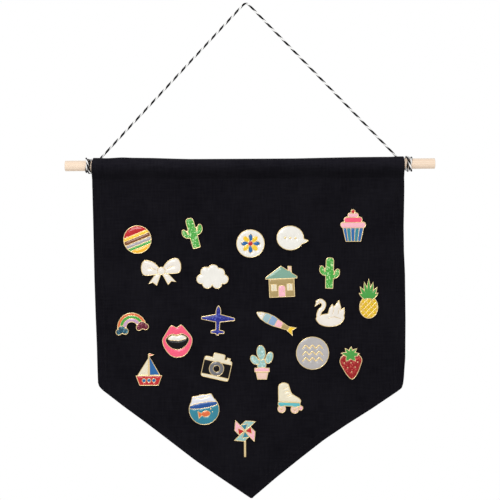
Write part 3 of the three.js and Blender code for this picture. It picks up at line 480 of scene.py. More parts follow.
def pocket_point(x, share):
    """Middle of the cloth in the pocket, and the way out of it, at a share of the way round."""
    mouth = 1 - ease(CLOTH_REACH - abs(x), 0, MOUTH_LENGTH)
    flare = MOUTH_FLARE[0 if x < 0 else 1]
    radius = POCKET_FIT + POCKET_CLOTH / 2 + mouth * (MOUTH_HEM + flare)
    feet = [Vector((PANEL_Y, -SEAM_DROP)), Vector((PANEL_Y + CLOTH_THICKNESS, -SEAM_DROP))]
    front, back = [math.atan2(foot.y, foot.x) + way * math.acos(radius / foot.length)
                   for foot, way in zip(feet, (-1, 1))]
    front += 2 * math.pi
    if min(share, 1 - share) < POCKET_FLANK:
        foot, angle = (feet[0], front) if share < 0.5 else (feet[1], back)
        part = min(share, 1 - share) / POCKET_FLANK
        out = Vector((math.cos(angle), math.sin(angle)))
        return foot.lerp(out * radius, part), out
    angle = front + (back - front) * (share - POCKET_FLANK) / (1 - 2 * POCKET_FLANK)
    out = Vector((math.cos(angle), math.sin(angle)))
    rise = float(np.interp(x, [at for at, _ in TOP_RISE], [up for _, up in TOP_RISE]))
    return out * radius + Vector((0, rise * max(out.y, 0) ** 2)), out


# Rows down the cut cloth, from the flap's end over the dowel to the tip: how far along the cloth each
# lies from the seam, upwards. They are closer at the corners, at the tip and where the hem begins.
FLAP_ROWS = (1, 0.97, 0.6, 0.2)  # shares of the flap
ROUND_ROWS = 41
PANEL_ROWS = (SEAM_DROP + 2, TIP_DROP - 2, 4)  # first, last, spacing
CORNER_ROWS = (206, 223, 1.5)
TIP_ROWS = (316, 318.5, 319.6, 320.5, TIP_DROP - 0.2)
FLAP_END = SEAM_DROP + POCKET_FLAP
rows = [POCKET_ROUND + POCKET_FLAP * share for share in FLAP_ROWS]
rows += [POCKET_ROUND * share for share in np.linspace(1, 0, ROUND_ROWS)]
drops = {*np.arange(*PANEL_ROWS).round(2), *np.arange(*CORNER_ROWS), *TIP_ROWS}
drops |= {FLAP_END + 0.2, FLAP_END + 0.8}
rows += [SEAM_DROP - drop for drop in sorted(drops)]
HEM_COLUMNS = (0, 0.05, 0.18, 0.5, 0.88, 0.95, 1, 1.05, 1.12)  # shares of the hem's width
MIDDLE_COLUMNS = 62


def cloth_row(row):
    """For one row: outer points, inner points, the two edge points, and how far across each is."""
    drop = SEAM_DROP - row if row < 0 else SEAM_DROP
    edge_drop = drop if row < 0 else SEAM_DROP * (1 - min(row / POCKET_ROUND, 1) * POCKET_EDGE)
    left, right = edge_at(LEFT_EDGE, edge_drop), edge_at(RIGHT_EDGE, edge_drop)
    from_seam = min(row, POCKET_ROUND - row)
    if from_seam >= 0:
        top = ease(from_seam, *[share * POCKET_ROUND for share in MOUTH_TOP])
        left, right = left + MOUTH_SLOPE[0] * top, right - MOUTH_SLOPE[1] * top
    reach = [min(hem_reach(side, drop), HEM_LIMIT * (right - left)) for side in (0, 1)]
    xs = [left + reach[0] * c for c in HEM_COLUMNS]
    ends = [right - reach[1] * c for c in reversed(HEM_COLUMNS)]
    xs += list(np.linspace(xs[-1], ends[0], MIDDLE_COLUMNS + 2)[1:-1]) + ends
    outer, inner, edges = [], [], []
    for i, x in enumerate(xs):
        depth = min(x - left, right - x)
        hem_edge = reach[0] if x - left < right - x else reach[1]
        turned_in = 1 - ease(depth, *[share * hem_edge for share in HEM_STEP])
        if row < 0:
            place = Vector((PANEL_Y + hang(x, drop), -drop))
            out = Vector((-1, 0))
            thick = CLOTH_THICKNESS
            under = HEM_THICKNESS * turned_in * ease(drop, FLAP_END, FLAP_END + 1)
        elif row <= POCKET_ROUND:
            place, out = pocket_point(x, row / POCKET_ROUND)
            thinned = ease(from_seam, 0, POCKET_THINNING)
            thick = CLOTH_THICKNESS + (POCKET_CLOTH - CLOTH_THICKNESS) * thinned
            under = MOUTH_HEM * turned_in * ease(from_seam, *MOUTH_HEM_START)
        else:
            place = Vector((PANEL_Y + CLOTH_THICKNESS, -SEAM_DROP - (row - POCKET_ROUND)))
            out = Vector((1, 0))
            thick, under = CLOTH_THICKNESS, 0
        front = place + out * (thick / 2)
        back = place - out * (thick / 2 + under)
        outer.append((x, front.x, front.y))
        inner.append((x, back.x, back.y))
        if i in (0, len(xs) - 1):
            middle = (front + back) / 2
            bulge = -EDGE_BULGE if i == 0 else EDGE_BULGE
            edges.append((x + bulge, middle.x, middle.y))
    return outer, inner, edges, xs


def select_only(piece):
    """Makes a piece the one that operators act on."""
    bpy.ops.object.select_all(action="DESELECT")
    bpy.context.view_layer.objects.active = piece
    piece.select_set(True)


cloth_points, cloth_flat, cloth_faces = [], [], []
for row in rows:
    outer, inner, edges, xs = cloth_row(row)
    ring = outer + [edges[1]] + inner[::-1] + [edges[0]]
    flat = xs + [xs[-1]] + xs[::-1] + [xs[0]]
    ring_size = len(ring)
    cloth_points += [(x * MM, (DOWEL_Y + y) * MM, (DOWEL_Z + z) * MM) for x, y, z in ring]
    cloth_flat += [(x * MM, row * MM) for x in flat]
for j in range(len(rows) - 1):
    for k in range(ring_size):
        a, b = j * ring_size + k, j * ring_size + (k + 1) % ring_size
        cloth_faces.append((a, b, b + ring_size, a + ring_size))
columns = len(xs)
for start, order in ((0, 1), ((len(rows) - 1) * ring_size, -1)):
    for k in range(columns - 1):
        # the inner points run the other way round the ring, after the right-hand edge point
        far = 2 * columns - k
        quad = (start + k, start + far, start + far - 1, start + k + 1)
        cloth_faces.append(quad[::order])
    left_end = (start, start + ring_size - 1, start + 2 * columns)
    right_end = (start + columns - 1, start + columns + 1, start + columns)
    cloth_faces += [left_end[::order], right_end[::order]]
cloth = mesh_piece("canvas_banner", cloth_points, cloth_faces)
layer = cloth.data.uv_layers.new(name="cut")
corner_vertices = np.zeros(len(cloth.data.loops), np.int32)
cloth.data.loops.foreach_get("vertex_index", corner_vertices)
layer.data.foreach_set("uv", np.array(cloth_flat)[corner_vertices].ravel())
select_only(cloth)
bpy.ops.object.mode_set(mode="EDIT")
bpy.ops.mesh.select_all(action="SELECT")
bpy.ops.mesh.normals_make_consistent(inside=False)
bpy.ops.object.mode_set(mode="OBJECT")
bpy.ops.object.shade_smooth_by_angle(angle=math.radians(60))

# Cotton canvas: plain weave of 0.6 mm threads, dyed black, quite matt, with slubs where a thread is
# thicker for some millimetres and a little fluff that lightens it at grazing angles. Round the dowel its
# colour carries painted light on top of the bend and painted shade under it.
THREAD = 0.6 * MM
# Painted shading round the dowel: levels of its colour, each at a length above the seam; under 1 is
# painted shade below the bend, over 1 is painted light on its top
CANVAS_PAINTED_SHADING = [
    (0, 1.04), (1.5, 0.86), (6, 0.86), (10, 1.15), (13.5, 1.5), (18, 1.75), (26, 1.75), (34, 1)]
PAINTED_SHADING_SAG = 8  # the lines of the painted light and shade wander up and down by as much
PAINTED_SHADING_START = -4
canvas, tree, shader = new_material("black_cotton_canvas")
cut = node(tree, "ShaderNodeUVMap", uv_map="cut")
threads, thick_places = [], []
for bands, stretch in (("X", (0.1, 1, 1)), ("Y", (1, 0.1, 1))):
    wave = node(tree, "ShaderNodeTexWave", {
        "Vector": cut, "Scale": math.pi / 10 / THREAD, "Distortion": 0.4, "Detail": 1.0,
        "Detail Scale": 0.3}, bands_direction=bands)
    drawn_out = node(tree, "ShaderNodeMapping", {"Vector": cut, "Scale": stretch})
    slub = node(tree, "ShaderNodeTexNoise", {
        "Vector": drawn_out, "Scale": 1 / (1.6 * MM), "Detail": 2.0})
    threads.append(wave.outputs["Fac"])
    thick_places.append(slub)
over = node(tree, "ShaderNodeTexChecker", {"Vector": cut, "Scale": 1 / THREAD})
weave = node(tree, "ShaderNodeMix", {"Factor": over.outputs["Fac"], "A": threads[0], "B": threads[1]})
slubs = node(tree, "ShaderNodeMath", {0: thick_places[0], 1: thick_places[1]}, operation="ADD")
dye = node(tree, "ShaderNodeTexNoise", {"Vector": cut, "Scale": 1 / (40 * MM), "Detail": 3.0})
shade = node(tree, "ShaderNodeMath", {0: slubs, 1: dye}, operation="ADD")
share = node(tree, "ShaderNodeMapRange", {"Value": shade, "From Min": 1.1, "From Max": 1.9})
canvas_colour = node(tree, "ShaderNodeMix", {
    "Factor": share, "A": linear("#0d0c11"), "B": linear("#17161b")}, data_type="RGBA")
# painted light and shade: the colour is scaled up on top of the bend over the dowel and down under it
along_cut = node(tree, "ShaderNodeSeparateXYZ", {"Vector": cut}).outputs["Y"]
sag_point = node(tree, "ShaderNodeMapping", {"Vector": cut, "Scale": (1, 0, 1)})
sag = node(tree, "ShaderNodeTexNoise", {"Vector": sag_point, "Scale": 1 / (38 * MM), "Detail": 1.0})
sagged = node(tree, "ShaderNodeMath", {
    0: sag, 1: -PAINTED_SHADING_SAG * MM, 2: along_cut}, operation="MULTIPLY_ADD")
round_dowel = node(tree, "ShaderNodeMapRange", {
    "Value": sagged, "From Min": PAINTED_SHADING_START * MM, "From Max": (POCKET_ROUND + PAINTED_SHADING_START) * MM})
painted_shading = node(tree, "ShaderNodeValToRGB", {"Fac": round_dowel})
while len(painted_shading.color_ramp.elements) < len(CANVAS_PAINTED_SHADING):
    painted_shading.color_ramp.elements.new(0.5)
for stop, (place, level) in zip(painted_shading.color_ramp.elements, CANVAS_PAINTED_SHADING):
    stop.position = place / POCKET_ROUND
    stop.color = (level / 2, level / 2, level / 2, 1)
# the canvas colour with its painted light and shade
painted_shading_colour = node(tree, "ShaderNodeVectorMath", {0: canvas_colour, 1: painted_shading}, operation="MULTIPLY")
painted_shading_colour = node(tree, "ShaderNodeVectorMath", {0: painted_shading_colour, "Scale": 2.0}, operation="SCALE")
height = node(tree, "ShaderNodeMath", {0: slubs, 1: 0.6, 2: weave}, operation="MULTIPLY_ADD")
bump = node(tree, "ShaderNodeBump", {"Height": height, "Distance": 0.12 * MM, "Strength": 0.7})
set_inputs(tree, shader, {
    "Base Color": painted_shading_colour, "Normal": bump, "Roughness": 0.95,
    "Specular IOR Level": 0.04, "Sheen Weight": 0.12, "Sheen Roughness": 0.3})
cloth.data.materials.append(canvas)
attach(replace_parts(cloth, "banner_cloth"), "banner")


# Stitching: black polyester thread in lockstitches 3 mm long, along the pocket's seam and round the
# hem, pulled halfway into the cloth on both faces.
STITCH = 3.0  # from one to the next
STITCH_LENGTH = 2.7
STITCH_SWELL = 1.15  # in the middle
THREAD_WIDTH = 0.5
SEAM_REACH = 146.5  # from the hang point to the ends of the pocket's seam
SEAM_STITCH_DROP = SEAM_DROP + 0.7
HEM_STITCH_INSET = 7.6
HEM_STITCH_ENDS = (2, 14)  # its line starts below the seam and ends above the tip
HEM_STITCH_STEP = 12.0  # between the points of its line
bpy.ops.object.select_all(action="DESELECT")
bpy.ops.mesh.primitive_uv_sphere_add(segments=6, ring_count=4, radius=1, rotation=(0, math.pi / 2, 0))
stitch = set_down(bpy.context.active_object, "stitch")
bpy.ops.object.mode_set(mode="EDIT")
bpy.ops.mesh.select_all(action="SELECT")
bpy.ops.transform.resize(value=(STITCH_LENGTH / 2, THREAD_WIDTH / 2, THREAD_WIDTH / 2))
pick(stitch, lambda edge: abs(edge.verts[0].co.x) < 0.1 and abs(edge.verts[1].co.x) < 0.1, "EDGE")
bpy.ops.transform.resize(value=(1, STITCH_SWELL, STITCH_SWELL))
bpy.ops.object.mode_set(mode="OBJECT")
stitch_points = np.array([v.co for v in stitch.data.vertices])
stitch_faces = [tuple(p.vertices) for p in stitch.data.polygons]
bpy.data.objects.remove(stitch)


def stitch_line(line):
    """Middles and slopes of the stitches along a line through its points."""
    found = []
    for a, b in zip(line, line[1:]):
        span = np.subtract(b, a)
        count = max(1, round(np.linalg.norm(span) / STITCH))
        slope = math.atan2(span[1], span[0])
        found += [(np.add(a, span * (k + 0.5) / count), slope) for k in range(count)]
    return found


def inset_edge(edge, side):
    """The line of the hem's stitches, from below the pocket to the tip."""
    inset = []
    first, last = SEAM_DROP + HEM_STITCH_ENDS[0], TIP_DROP - HEM_STITCH_ENDS[1]
    for drop in sorted([*np.arange(first, last, HEM_STITCH_STEP), CORNER_DROPS[side] + 6]):
        reach = hem_reach(side, drop) * HEM_STITCH_INSET / HEM_WIDTH
        x = edge_at(edge, drop) + (reach if side == 0 else -reach)
        if (x < -1) if side == 0 else (x > 1):
            inset.append((x, drop))
    return inset


sewn = stitch_line([(-SEAM_REACH, SEAM_STITCH_DROP), (SEAM_REACH, SEAM_STITCH_DROP)])
sewn += stitch_line(inset_edge(LEFT_EDGE, 0)) + stitch_line(inset_edge(RIGHT_EDGE, 1))
thread_points, thread_faces = [], []
for (x, drop), slope in sewn:
    on_flap = drop < SEAM_DROP + 1
    under = HEM_THICKNESS if on_flap or drop > FLAP_END else 0
    stand = hang(x, drop)
    front = DOWEL_Y + PANEL_Y - CLOTH_THICKNESS / 2 + stand
    back = DOWEL_Y + PANEL_Y + CLOTH_THICKNESS / 2 + under + stand
    turned = stitch_points @ np.array(Matrix.Rotation(slope, 3, "Y")).T
    for y in (front, back):
        base = len(thread_points)
        thread_points += [tuple((p + (x, y, DOWEL_Z - drop)) * MM) for p in turned]
        thread_faces += [tuple(base + i for i in face) for face in stitch_faces]
stitching = mesh_piece("canvas_stitching", thread_points, thread_faces)
stitching.data.polygons.foreach_set("use_smooth", [True] * len(thread_faces))

# Polyester thread: twisted, a little glossier than the cotton under it.
thread, tree, shader = new_material("black_polyester_thread")
point = node(tree, "ShaderNodeTexCoord").outputs["Object"]
twist = node(tree, "ShaderNodeTexNoise", {"Vector": point, "Scale": 1 / (0.4 * MM), "Detail": 1.0})
thread_colour = node(tree, "ShaderNodeMix", {
    "Factor": twist, "A": linear("#0e0d12"), "B": linear("#17161b")}, data_type="RGBA")
set_inputs(tree, shader, {"Base Color": thread_colour, "Roughness": 0.6, "Specular IOR Level": 0.08})
stitching.data.materials.append(thread)
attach(stitching, "banner")


# Clutches: moulded black PVC caps behind the cloth, each a thin flange and a knob with a dimple, that
# grip a pin's post. They are modelled once and copied to each post.
CLUTCH_FRONT = -7.14
CLUTCH_FLANGE = (5.5, 2.0)  # radius, thickness
CLUTCH_KNOB = (3.8, 4.4)  # radius, length
KNOB_TAPER = 0.93
DIMPLE_RIM, DIMPLE_DEPTH, DIMPLE_TAPER = 1.5, 0.9, 0.7
CLUTCH_EASE = 0.4
SHARP_EDGE = 0.6  # radians between the faces of an edge that is eased
SMOOTH_ANGLE = math.radians(40)
# Moulded PVC: dull black, paler in patches where it blooms, with the mould's fine grit.
pvc, tree, shader = new_material("moulded_black_pvc")
point = node(tree, "ShaderNodeTexCoord").outputs["Object"]
bloom = node(tree, "ShaderNodeTexNoise", {"Vector": point, "Scale": 1 / (3 * MM), "Detail": 3.0})
pvc_colour = node(tree, "ShaderNodeMix", {
    "Factor": bloom, "A": linear("#1b1b1d"), "B": linear("#2a2a2d")}, data_type="RGBA")
grit = node(tree, "ShaderNodeTexNoise", {"Vector": point, "Scale": 1 / (0.25 * MM), "Detail": 1.0})
bump = node(tree, "ShaderNodeBump", {"Height": grit, "Distance": 0.02 * MM, "Strength": 0.4})
set_inputs(tree, shader, {
    "Base Color": pvc_colour, "Normal": bump, "Roughness": 0.55, "Specular IOR Level": 0.25})

bpy.ops.object.select_all(action="DESELECT")
bpy.ops.mesh.primitive_cylinder_add(
    vertices=28, radius=CLUTCH_FLANGE[0] * MM, depth=CLUTCH_FLANGE[1] * MM,
    location=(0, (CLUTCH_FRONT + CLUTCH_FLANGE[1] / 2) * MM, 0), rotation=(math.pi / 2, 0, 0))
clutch = set_down(bpy.context.active_object, "clutch")
bpy.ops.object.mode_set(mode="EDIT")
pick(clutch, lambda face: face.normal.y > 0.9)
bpy.ops.mesh.inset(thickness=(CLUTCH_FLANGE[0] - CLUTCH_KNOB[0]) * MM)
bpy.ops.mesh.extrude_region_move(TRANSFORM_OT_translate={"value": (0, CLUTCH_KNOB[1] * MM, 0)})
bpy.ops.transform.resize(value=(KNOB_TAPER, 1, KNOB_TAPER))
bpy.ops.mesh.inset(thickness=DIMPLE_RIM * MM)
bpy.ops.mesh.extrude_region_move(TRANSFORM_OT_translate={"value": (0, -DIMPLE_DEPTH * MM, 0)})
bpy.ops.transform.resize(value=(DIMPLE_TAPER, 1, DIMPLE_TAPER))
pick(clutch, lambda edge: edge.is_manifold and edge.calc_face_angle(0) > SHARP_EDGE, "EDGE")
bpy.ops.mesh.bevel(offset=CLUTCH_EASE * MM, segments=3, affect="EDGES", clamp_overlap=True)
bpy.ops.object.mode_set(mode="OBJECT")
bpy.ops.object.shade_smooth_by_angle(angle=SMOOTH_ANGLE)
clutch.data.materials.append(pvc)
for joint in pin_joints:
    name = joint["name"].removesuffix("_turn")
    copy = bpy.data.objects.new(f"{name}_pvc_clutch", clutch.data.copy())
    copy.data.transform(Matrix.Translation((joint["pos_m"][0], 0, joint["pos_m"][2])))
    scene.collection.objects.link(copy)
    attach(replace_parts(copy, f"{name}_clutch"), f"{name}_clutch")
bpy.data.objects.remove(clutch)


# Badges: struck in brass, polished and plated pale gold, with the post soldered on behind. The
# struck lines and rims stand above the cells, which are filled with enamel.
# Gold plating: bright and pale, dulled by handling in patches some millimetres wide. The patches
# are also paler and darker in colour, a painted reflection of a room's bright and dark parts.
plating, tree, shader = new_material("pale_gold_plating")
point = node(tree, "ShaderNodeTexCoord").outputs["Object"]
handling_and_reflection = node(tree, "ShaderNodeTexNoise", {"Vector": point, "Scale": 1 / (4 * MM), "Detail": 4.0})
# painted reflection: the plating's colour goes paler and darker in the patches
plate_colour = node(tree, "ShaderNodeMix", {
    "Factor": handling_and_reflection, "A": linear("#e4cfa2"), "B": linear("#cfb47e")}, data_type="RGBA")
plate_gloss = node(tree, "ShaderNodeMapRange", {"Value": handling_and_reflection, "To Min": 0.16, "To Max": 0.34})
set_inputs(tree, shader, {"Base Color": plate_colour, "Roughness": plate_gloss, "Metallic": 1})

# Enamel: coloured resin filled into the cells and cured, its face just under the rims. Glitter
# enamel holds flakes, drawn 0.9 mm wide so that they show.
ENAMELS = {
    "white": "#e8e5dd", "ivory": "#e8e1d7", "cream": "#e5dcc3", "red": "#bd2328", "ruby": "#951415",
    "garnet": "#5c1226", "pink": "#f15a7a", "rose": "#f2b4c0", "peach": "#e8c4b4", "orange": "#de6c3c",
    "amber": "#fab932", "yellow": "#f2c62c", "maize": "#dcb000", "green": "#45a33e", "leaf": "#459840",
    "sage": "#7da592", "mint": "#96bfba", "turquoise": "#5fb7bd", "teal": "#2f7f93", "petrol": "#17465a",
    "sky": "#9abac0", "cornflower": "#86a3c4", "blue": "#2563a0", "navy": "#1c4f93", "royal": "#1f2684",
    "lilac": "#c49bc0", "mist": "#b1adac", "glass": "#dfe0e8", "ash": "#a5a0a5", "tan": "#a9925f",
    "brown": "#7d4b28", "black": "#0d0c0d", "slate": "#6d6d70"}
GLITTERS = {"green": "#cdeeb0", "ruby": "#d85a52", "garnet": "#d0708a", "maize": "#f2d848",
            "mint": "#d8efec", "petrol": "#6fb0c4", "royal": "#6474dc"}
GLITTER_CELLS = ("petrol", "garnet")  # colours that glitter wherever they are


def new_enamel(colour, glitter):
    """A colour's enamel: bright tilted flakes in glitter, and otherwise slow streaks and ripples."""
    material, tree, shader = new_material(f"{colour}_{'glitter' if glitter else 'plain'}_enamel")
    point = node(tree, "ShaderNodeTexCoord").outputs["Object"]
    tint = linear(ENAMELS[colour])
    if glitter:
        flakes = node(tree, "ShaderNodeTexVoronoi", {"Vector": point, "Scale": 1 / (0.9 * MM)})
        bright = node(tree, "ShaderNodeSeparateColor", {"Color": flakes.outputs["Color"]})
        streaks, height, pale = bright.outputs["Red"], bright.outputs["Green"], linear(GLITTERS[colour])
        low, high, most = 0.78, 0.95, 0.9
        depth, strength, roughness = 0.08 * MM, 0.6, 0.25
    else:
        flow = node(tree, "ShaderNodeTexNoise", {"Vector": point, "Scale": 1 / (9 * MM), "Detail": 2.0})
        streaks = height = flow
        pale = [min(1.12 * c + 0.006, 1) for c in tint[:3]] + [1]
        low, high, most = 0.35, 0.75, 0.5
        depth, strength, roughness = 0.15 * MM, 0.3, 0.12
    level = node(tree, "ShaderNodeMapRange", {
        "Value": streaks, "From Min": low, "From Max": high, "To Max": most})
    mixed = node(tree, "ShaderNodeMix", {"Factor": level, "A": tint, "B": pale}, data_type="RGBA")
    bump = node(tree, "ShaderNodeBump", {"Height": height, "Distance": depth, "Strength": strength})
    set_inputs(tree, shader, {
        "Base Color": mixed, "Normal": bump, "Roughness": roughness,
        "Specular IOR Level": 0.1 if colour == "black" else 0.25})
    return material


def quarter_turns(x, y, middle):
    """A place and its three copies, each a quarter turn further to the left about the middle."""
    found = []
    for _ in range(4):
        found.append((middle[0] + x, middle[1] + y))
        x, y = -y, x
    return found


PETAL_REACH = 5.6
petal_turns = [k * math.pi / 4 for k in range(8)]
petals = [(PETAL_REACH * math.cos(turn), PETAL_REACH * math.sin(turn)) for turn in petal_turns]
PINWHEEL_HUB = (0, 7.4)
vanes, folds = quarter_turns(5, 8.2, PINWHEEL_HUB), quarter_turns(-0.9, 4.4, PINWHEEL_HUB)
# Each pin: the middle of its drawing, right of the hang point and below the dowel's axis, its lean to
# the left in degrees, the enamel of most cells, whether that glitters, and other cells by a place in them
PINS = {
    "stripe": ((-107.01, 71.3), 0, "amber", False, [
        ("green", 0, -6.8), ("ash", 0, -3.3), ("brown", 0, 0.8), ("yellow", 0, 4.6), ("red", 0, 10)]),
    "leaning_cactus": ((-53.61, 65.6), 15, "green", True, []),
    "rosette": ((1.8, 75.9), 0, "white", False,
                [("blue" if k % 2 == 0 else "yellow", *place) for k, place in enumerate(petals)]
                + [("red", 0, 0)]),
    "bubble": ((42.3, 70.9), -3, "white", False, []),
    "cupcake": ((100.71, 59.2), 0, "blue", False,
                [("teal", -3.54, -9), ("teal", 3.54, -9), ("rose", 0, 0.6), ("pink", 0, 5.6),
                 ("rose", 0, 10), ("red", 0, 14.2)]),
    "bow": ((-84.09, 102.8), 4, "ivory", False, []),
    "cloud": ((-35.01, 107.4), 0, "white", False, []),
    "house": ((31.41, 112.6), 2, "tan", False,
              [("sage", 0, 8), ("peach", 8.3, 12.4), ("rose", 0, -10), ("cream", -9.0, -5.7),
               ("cream", -6.2, -5.7), ("cream", 9.0, -5.7), ("cream", 6.2, -5.7)]),
    "upright_cactus": ((77.7, 104.8), -2, "green", True, []),
    "pineapple": ((115.11, 129.6), 0, "maize", True, [("leaf", 0, 8)]),
    "rainbow": ((-113.79, 150.8), 10, "orange", False,
                [("green", 0, 4.8), ("lilac", 0, 1.9), ("petrol", -10, -6.5), ("garnet", 10, -5.7)]),
    "lips": ((-69.21, 169.3), 3, "pink", False, [("black", 0, -3), ("white", -4, 3.2)]),
    "aeroplane": ((-30, 149.9), -3, "royal", True, []),
    "fish": ((26.19, 152.2), -27, "yellow", False,
             [("white", -15.4, -1.4), ("sky", -10, 0), ("cornflower", -3.5, 0), ("rose", 3.2, 0),
              ("tan", 9.5, 0)]),
    "swan": ((77.49, 142.9), 0, "ivory", False, []),
    "sailboat": ((-96.81, 196.6), 0, "red", False,
                 [("cream", -4, -1), ("blue", 4, -1), ("pink", 1.8, 14.2), ("blue", -4.8, -10.4),
                  ("blue", 0, -10.4), ("blue", 4.8, -10.4)]),
    "camera": ((-31.29, 194.2), -13, "cream", False,
               [("black", -10.5, -2), ("black", 10.5, -2), ("slate", 4.9, -2), ("black", 0, -2)]),
    "potted": ((12.09, 190.1), 0, "mint", True, [("peach", 0, -13.4), ("rose", 0, -7.5)]),
    "wave": ((60.81, 181.8), 0, "mist", False, []),
    "strawberry": ((97.8, 191.7), 4, "ruby", True, [("leaf", 0, 8.2)]),
    "fishbowl": ((-44.1, 234.2), 9, "glass", False,
                 [("teal", -9, -6), ("navy", 0, 3), ("orange", 1, -5.4)]),
    "skate": ((37.71, 224.3), -3, "cream", False,
              [("turquoise", 0, -6.5), ("peach", -6.4, -13.6), ("peach", 6.2, -13.6), ("rose", 12.8, -10)]),
    "pinwheel": ((-4.8, 263.7), 0, "mint", False,
                 [("rose", *vanes[1]), ("rose", *vanes[3]), ("teal", *folds[0]), ("teal", *folds[2]),
                  ("red", *folds[1]), ("red", *folds[3])])}
RIM_FRONT = -10.34
CELL_FLOOR = -9.94
RIM_ROUND = 0.2  # polishing has lowered the shoulders of rims and lines by this much
RIM_SHOULDER = 0.3  # width of a shoulder
RIM_GRID = 0.22
ENAMEL_EDGE = 0.2  # depth of the enamel along the sides of its cell
ENAMEL_CROWN = 0.6  # more depth in the middle of a wide cell
CROWN_REACH = 1.9
ENAMEL_GRID = 0.55
GRID_ROOM = 0.4  # share of a grid that stays free along an edge
MERGE = 0.002
LEVEL_ROOM = 0.05  # a face this near to a level lies in it
enamels = {}


def islands_of(faces):
    """The groups of faces that hang together by their edges."""
    left, groups = dict.fromkeys(faces), []
    while left:
        group = [left.popitem()[0]]
        for face in group:
            for near in [f for edge in face.edges for f in edge.link_faces]:
                if near in left:
                    del left[near]
                    group.append(near)
        groups.append(group)
    return groups


def inside(triangles, places):
    """Which places lie in one of the triangles."""
    found = np.zeros(len(places), bool)
    for a, b, c in triangles:
        turns = []
        for p, q in ((a, b), (b, c), (c, a)):
            turns.append((q[0] - p[0]) * (places[:, 1] - p[1]) - (q[1] - p[1]) * (places[:, 0] - p[0]))
        turns = np.array(turns)
        found |= (turns >= 0).all(axis=0) | (turns <= 0).all(axis=0)
    return found


def edge_room(places, starts, ends):
    """Distance of each place to the nearest of some straight edges."""
    least = np.full(len(places), np.inf)
    for a, b in zip(starts, ends):
        span = b - a
        share = np.clip((places - a) @ span / max(span @ span, 1e-12), 0, 1)
        least = np.minimum(least, np.linalg.norm(places - a - share[:, None] * span, axis=1))
    return least


def flat_places(corners):
    """Corners seen from the front, in mm."""
    return [(v.co.x / MM, v.co.z / MM) for v in corners]


def on_border(edge, members):
    """Whether one of an edge's faces alone is among the members."""
    return sum(face in members for face in edge.link_faces) == 1


def refined(faces, grid):
    """Flat faces meshed anew with points between their edges: the corners that they had along their
    edges, the places in mm of all points, how far in from the edges each lies, and the triangles."""
    triangles = np.array([flat_places(face.verts) for face in faces])
    members = set(faces)
    border = {edge for face in faces for edge in face.edges if on_border(edge, members)}
    border = sorted(border, key=lambda edge: edge.index)
    rim = sorted({v for edge in border for v in edge.verts}, key=lambda v: v.index)
    number = {v: i for i, v in enumerate(rim)}
    edges = [tuple(number[v] for v in edge.verts) for edge in border]
    around = np.array(flat_places(rim))
    starts, ends = around[[a for a, _ in edges]], around[[b for _, b in edges]]
    low, high = around.min(axis=0), around.max(axis=0)
    places = []
    for k, z in enumerate(np.arange(low[1], high[1], grid * math.sqrt(0.75))):
        places += [(x, z) for x in np.arange(low[0] + (k % 2) * grid / 2, high[0], grid)]
    places = np.array(places).reshape(-1, 2)
    places = places[inside(triangles, places)]
    places = places[edge_room(places, starts, ends) > GRID_ROOM * grid]
    middle = (low + high) / 2
    points = [Vector(p) for p in np.concatenate([around, places]) - middle]
    spots, _, found, sources, _, _ = delaunay_2d_cdt(points, edges, [], 0, 1e-5)
    spots = np.array([tuple(spot) for spot in spots]) + middle
    centres = np.array([spots[list(face)].mean(axis=0) for face in found])
    found = [tuple(face) for face, hit in zip(found, inside(triangles, centres)) if hit]
    corners = [next((rim[i] for i in source if i < len(rim)), None) for source in sources]
    return corners, spots, edge_room(spots, starts, ends), found


def at_level(faces, level):
    """The faces whose middle lies at a level."""
    return [face for face in faces if abs(face.calc_center_median().y / MM - level) < LEVEL_ROOM]


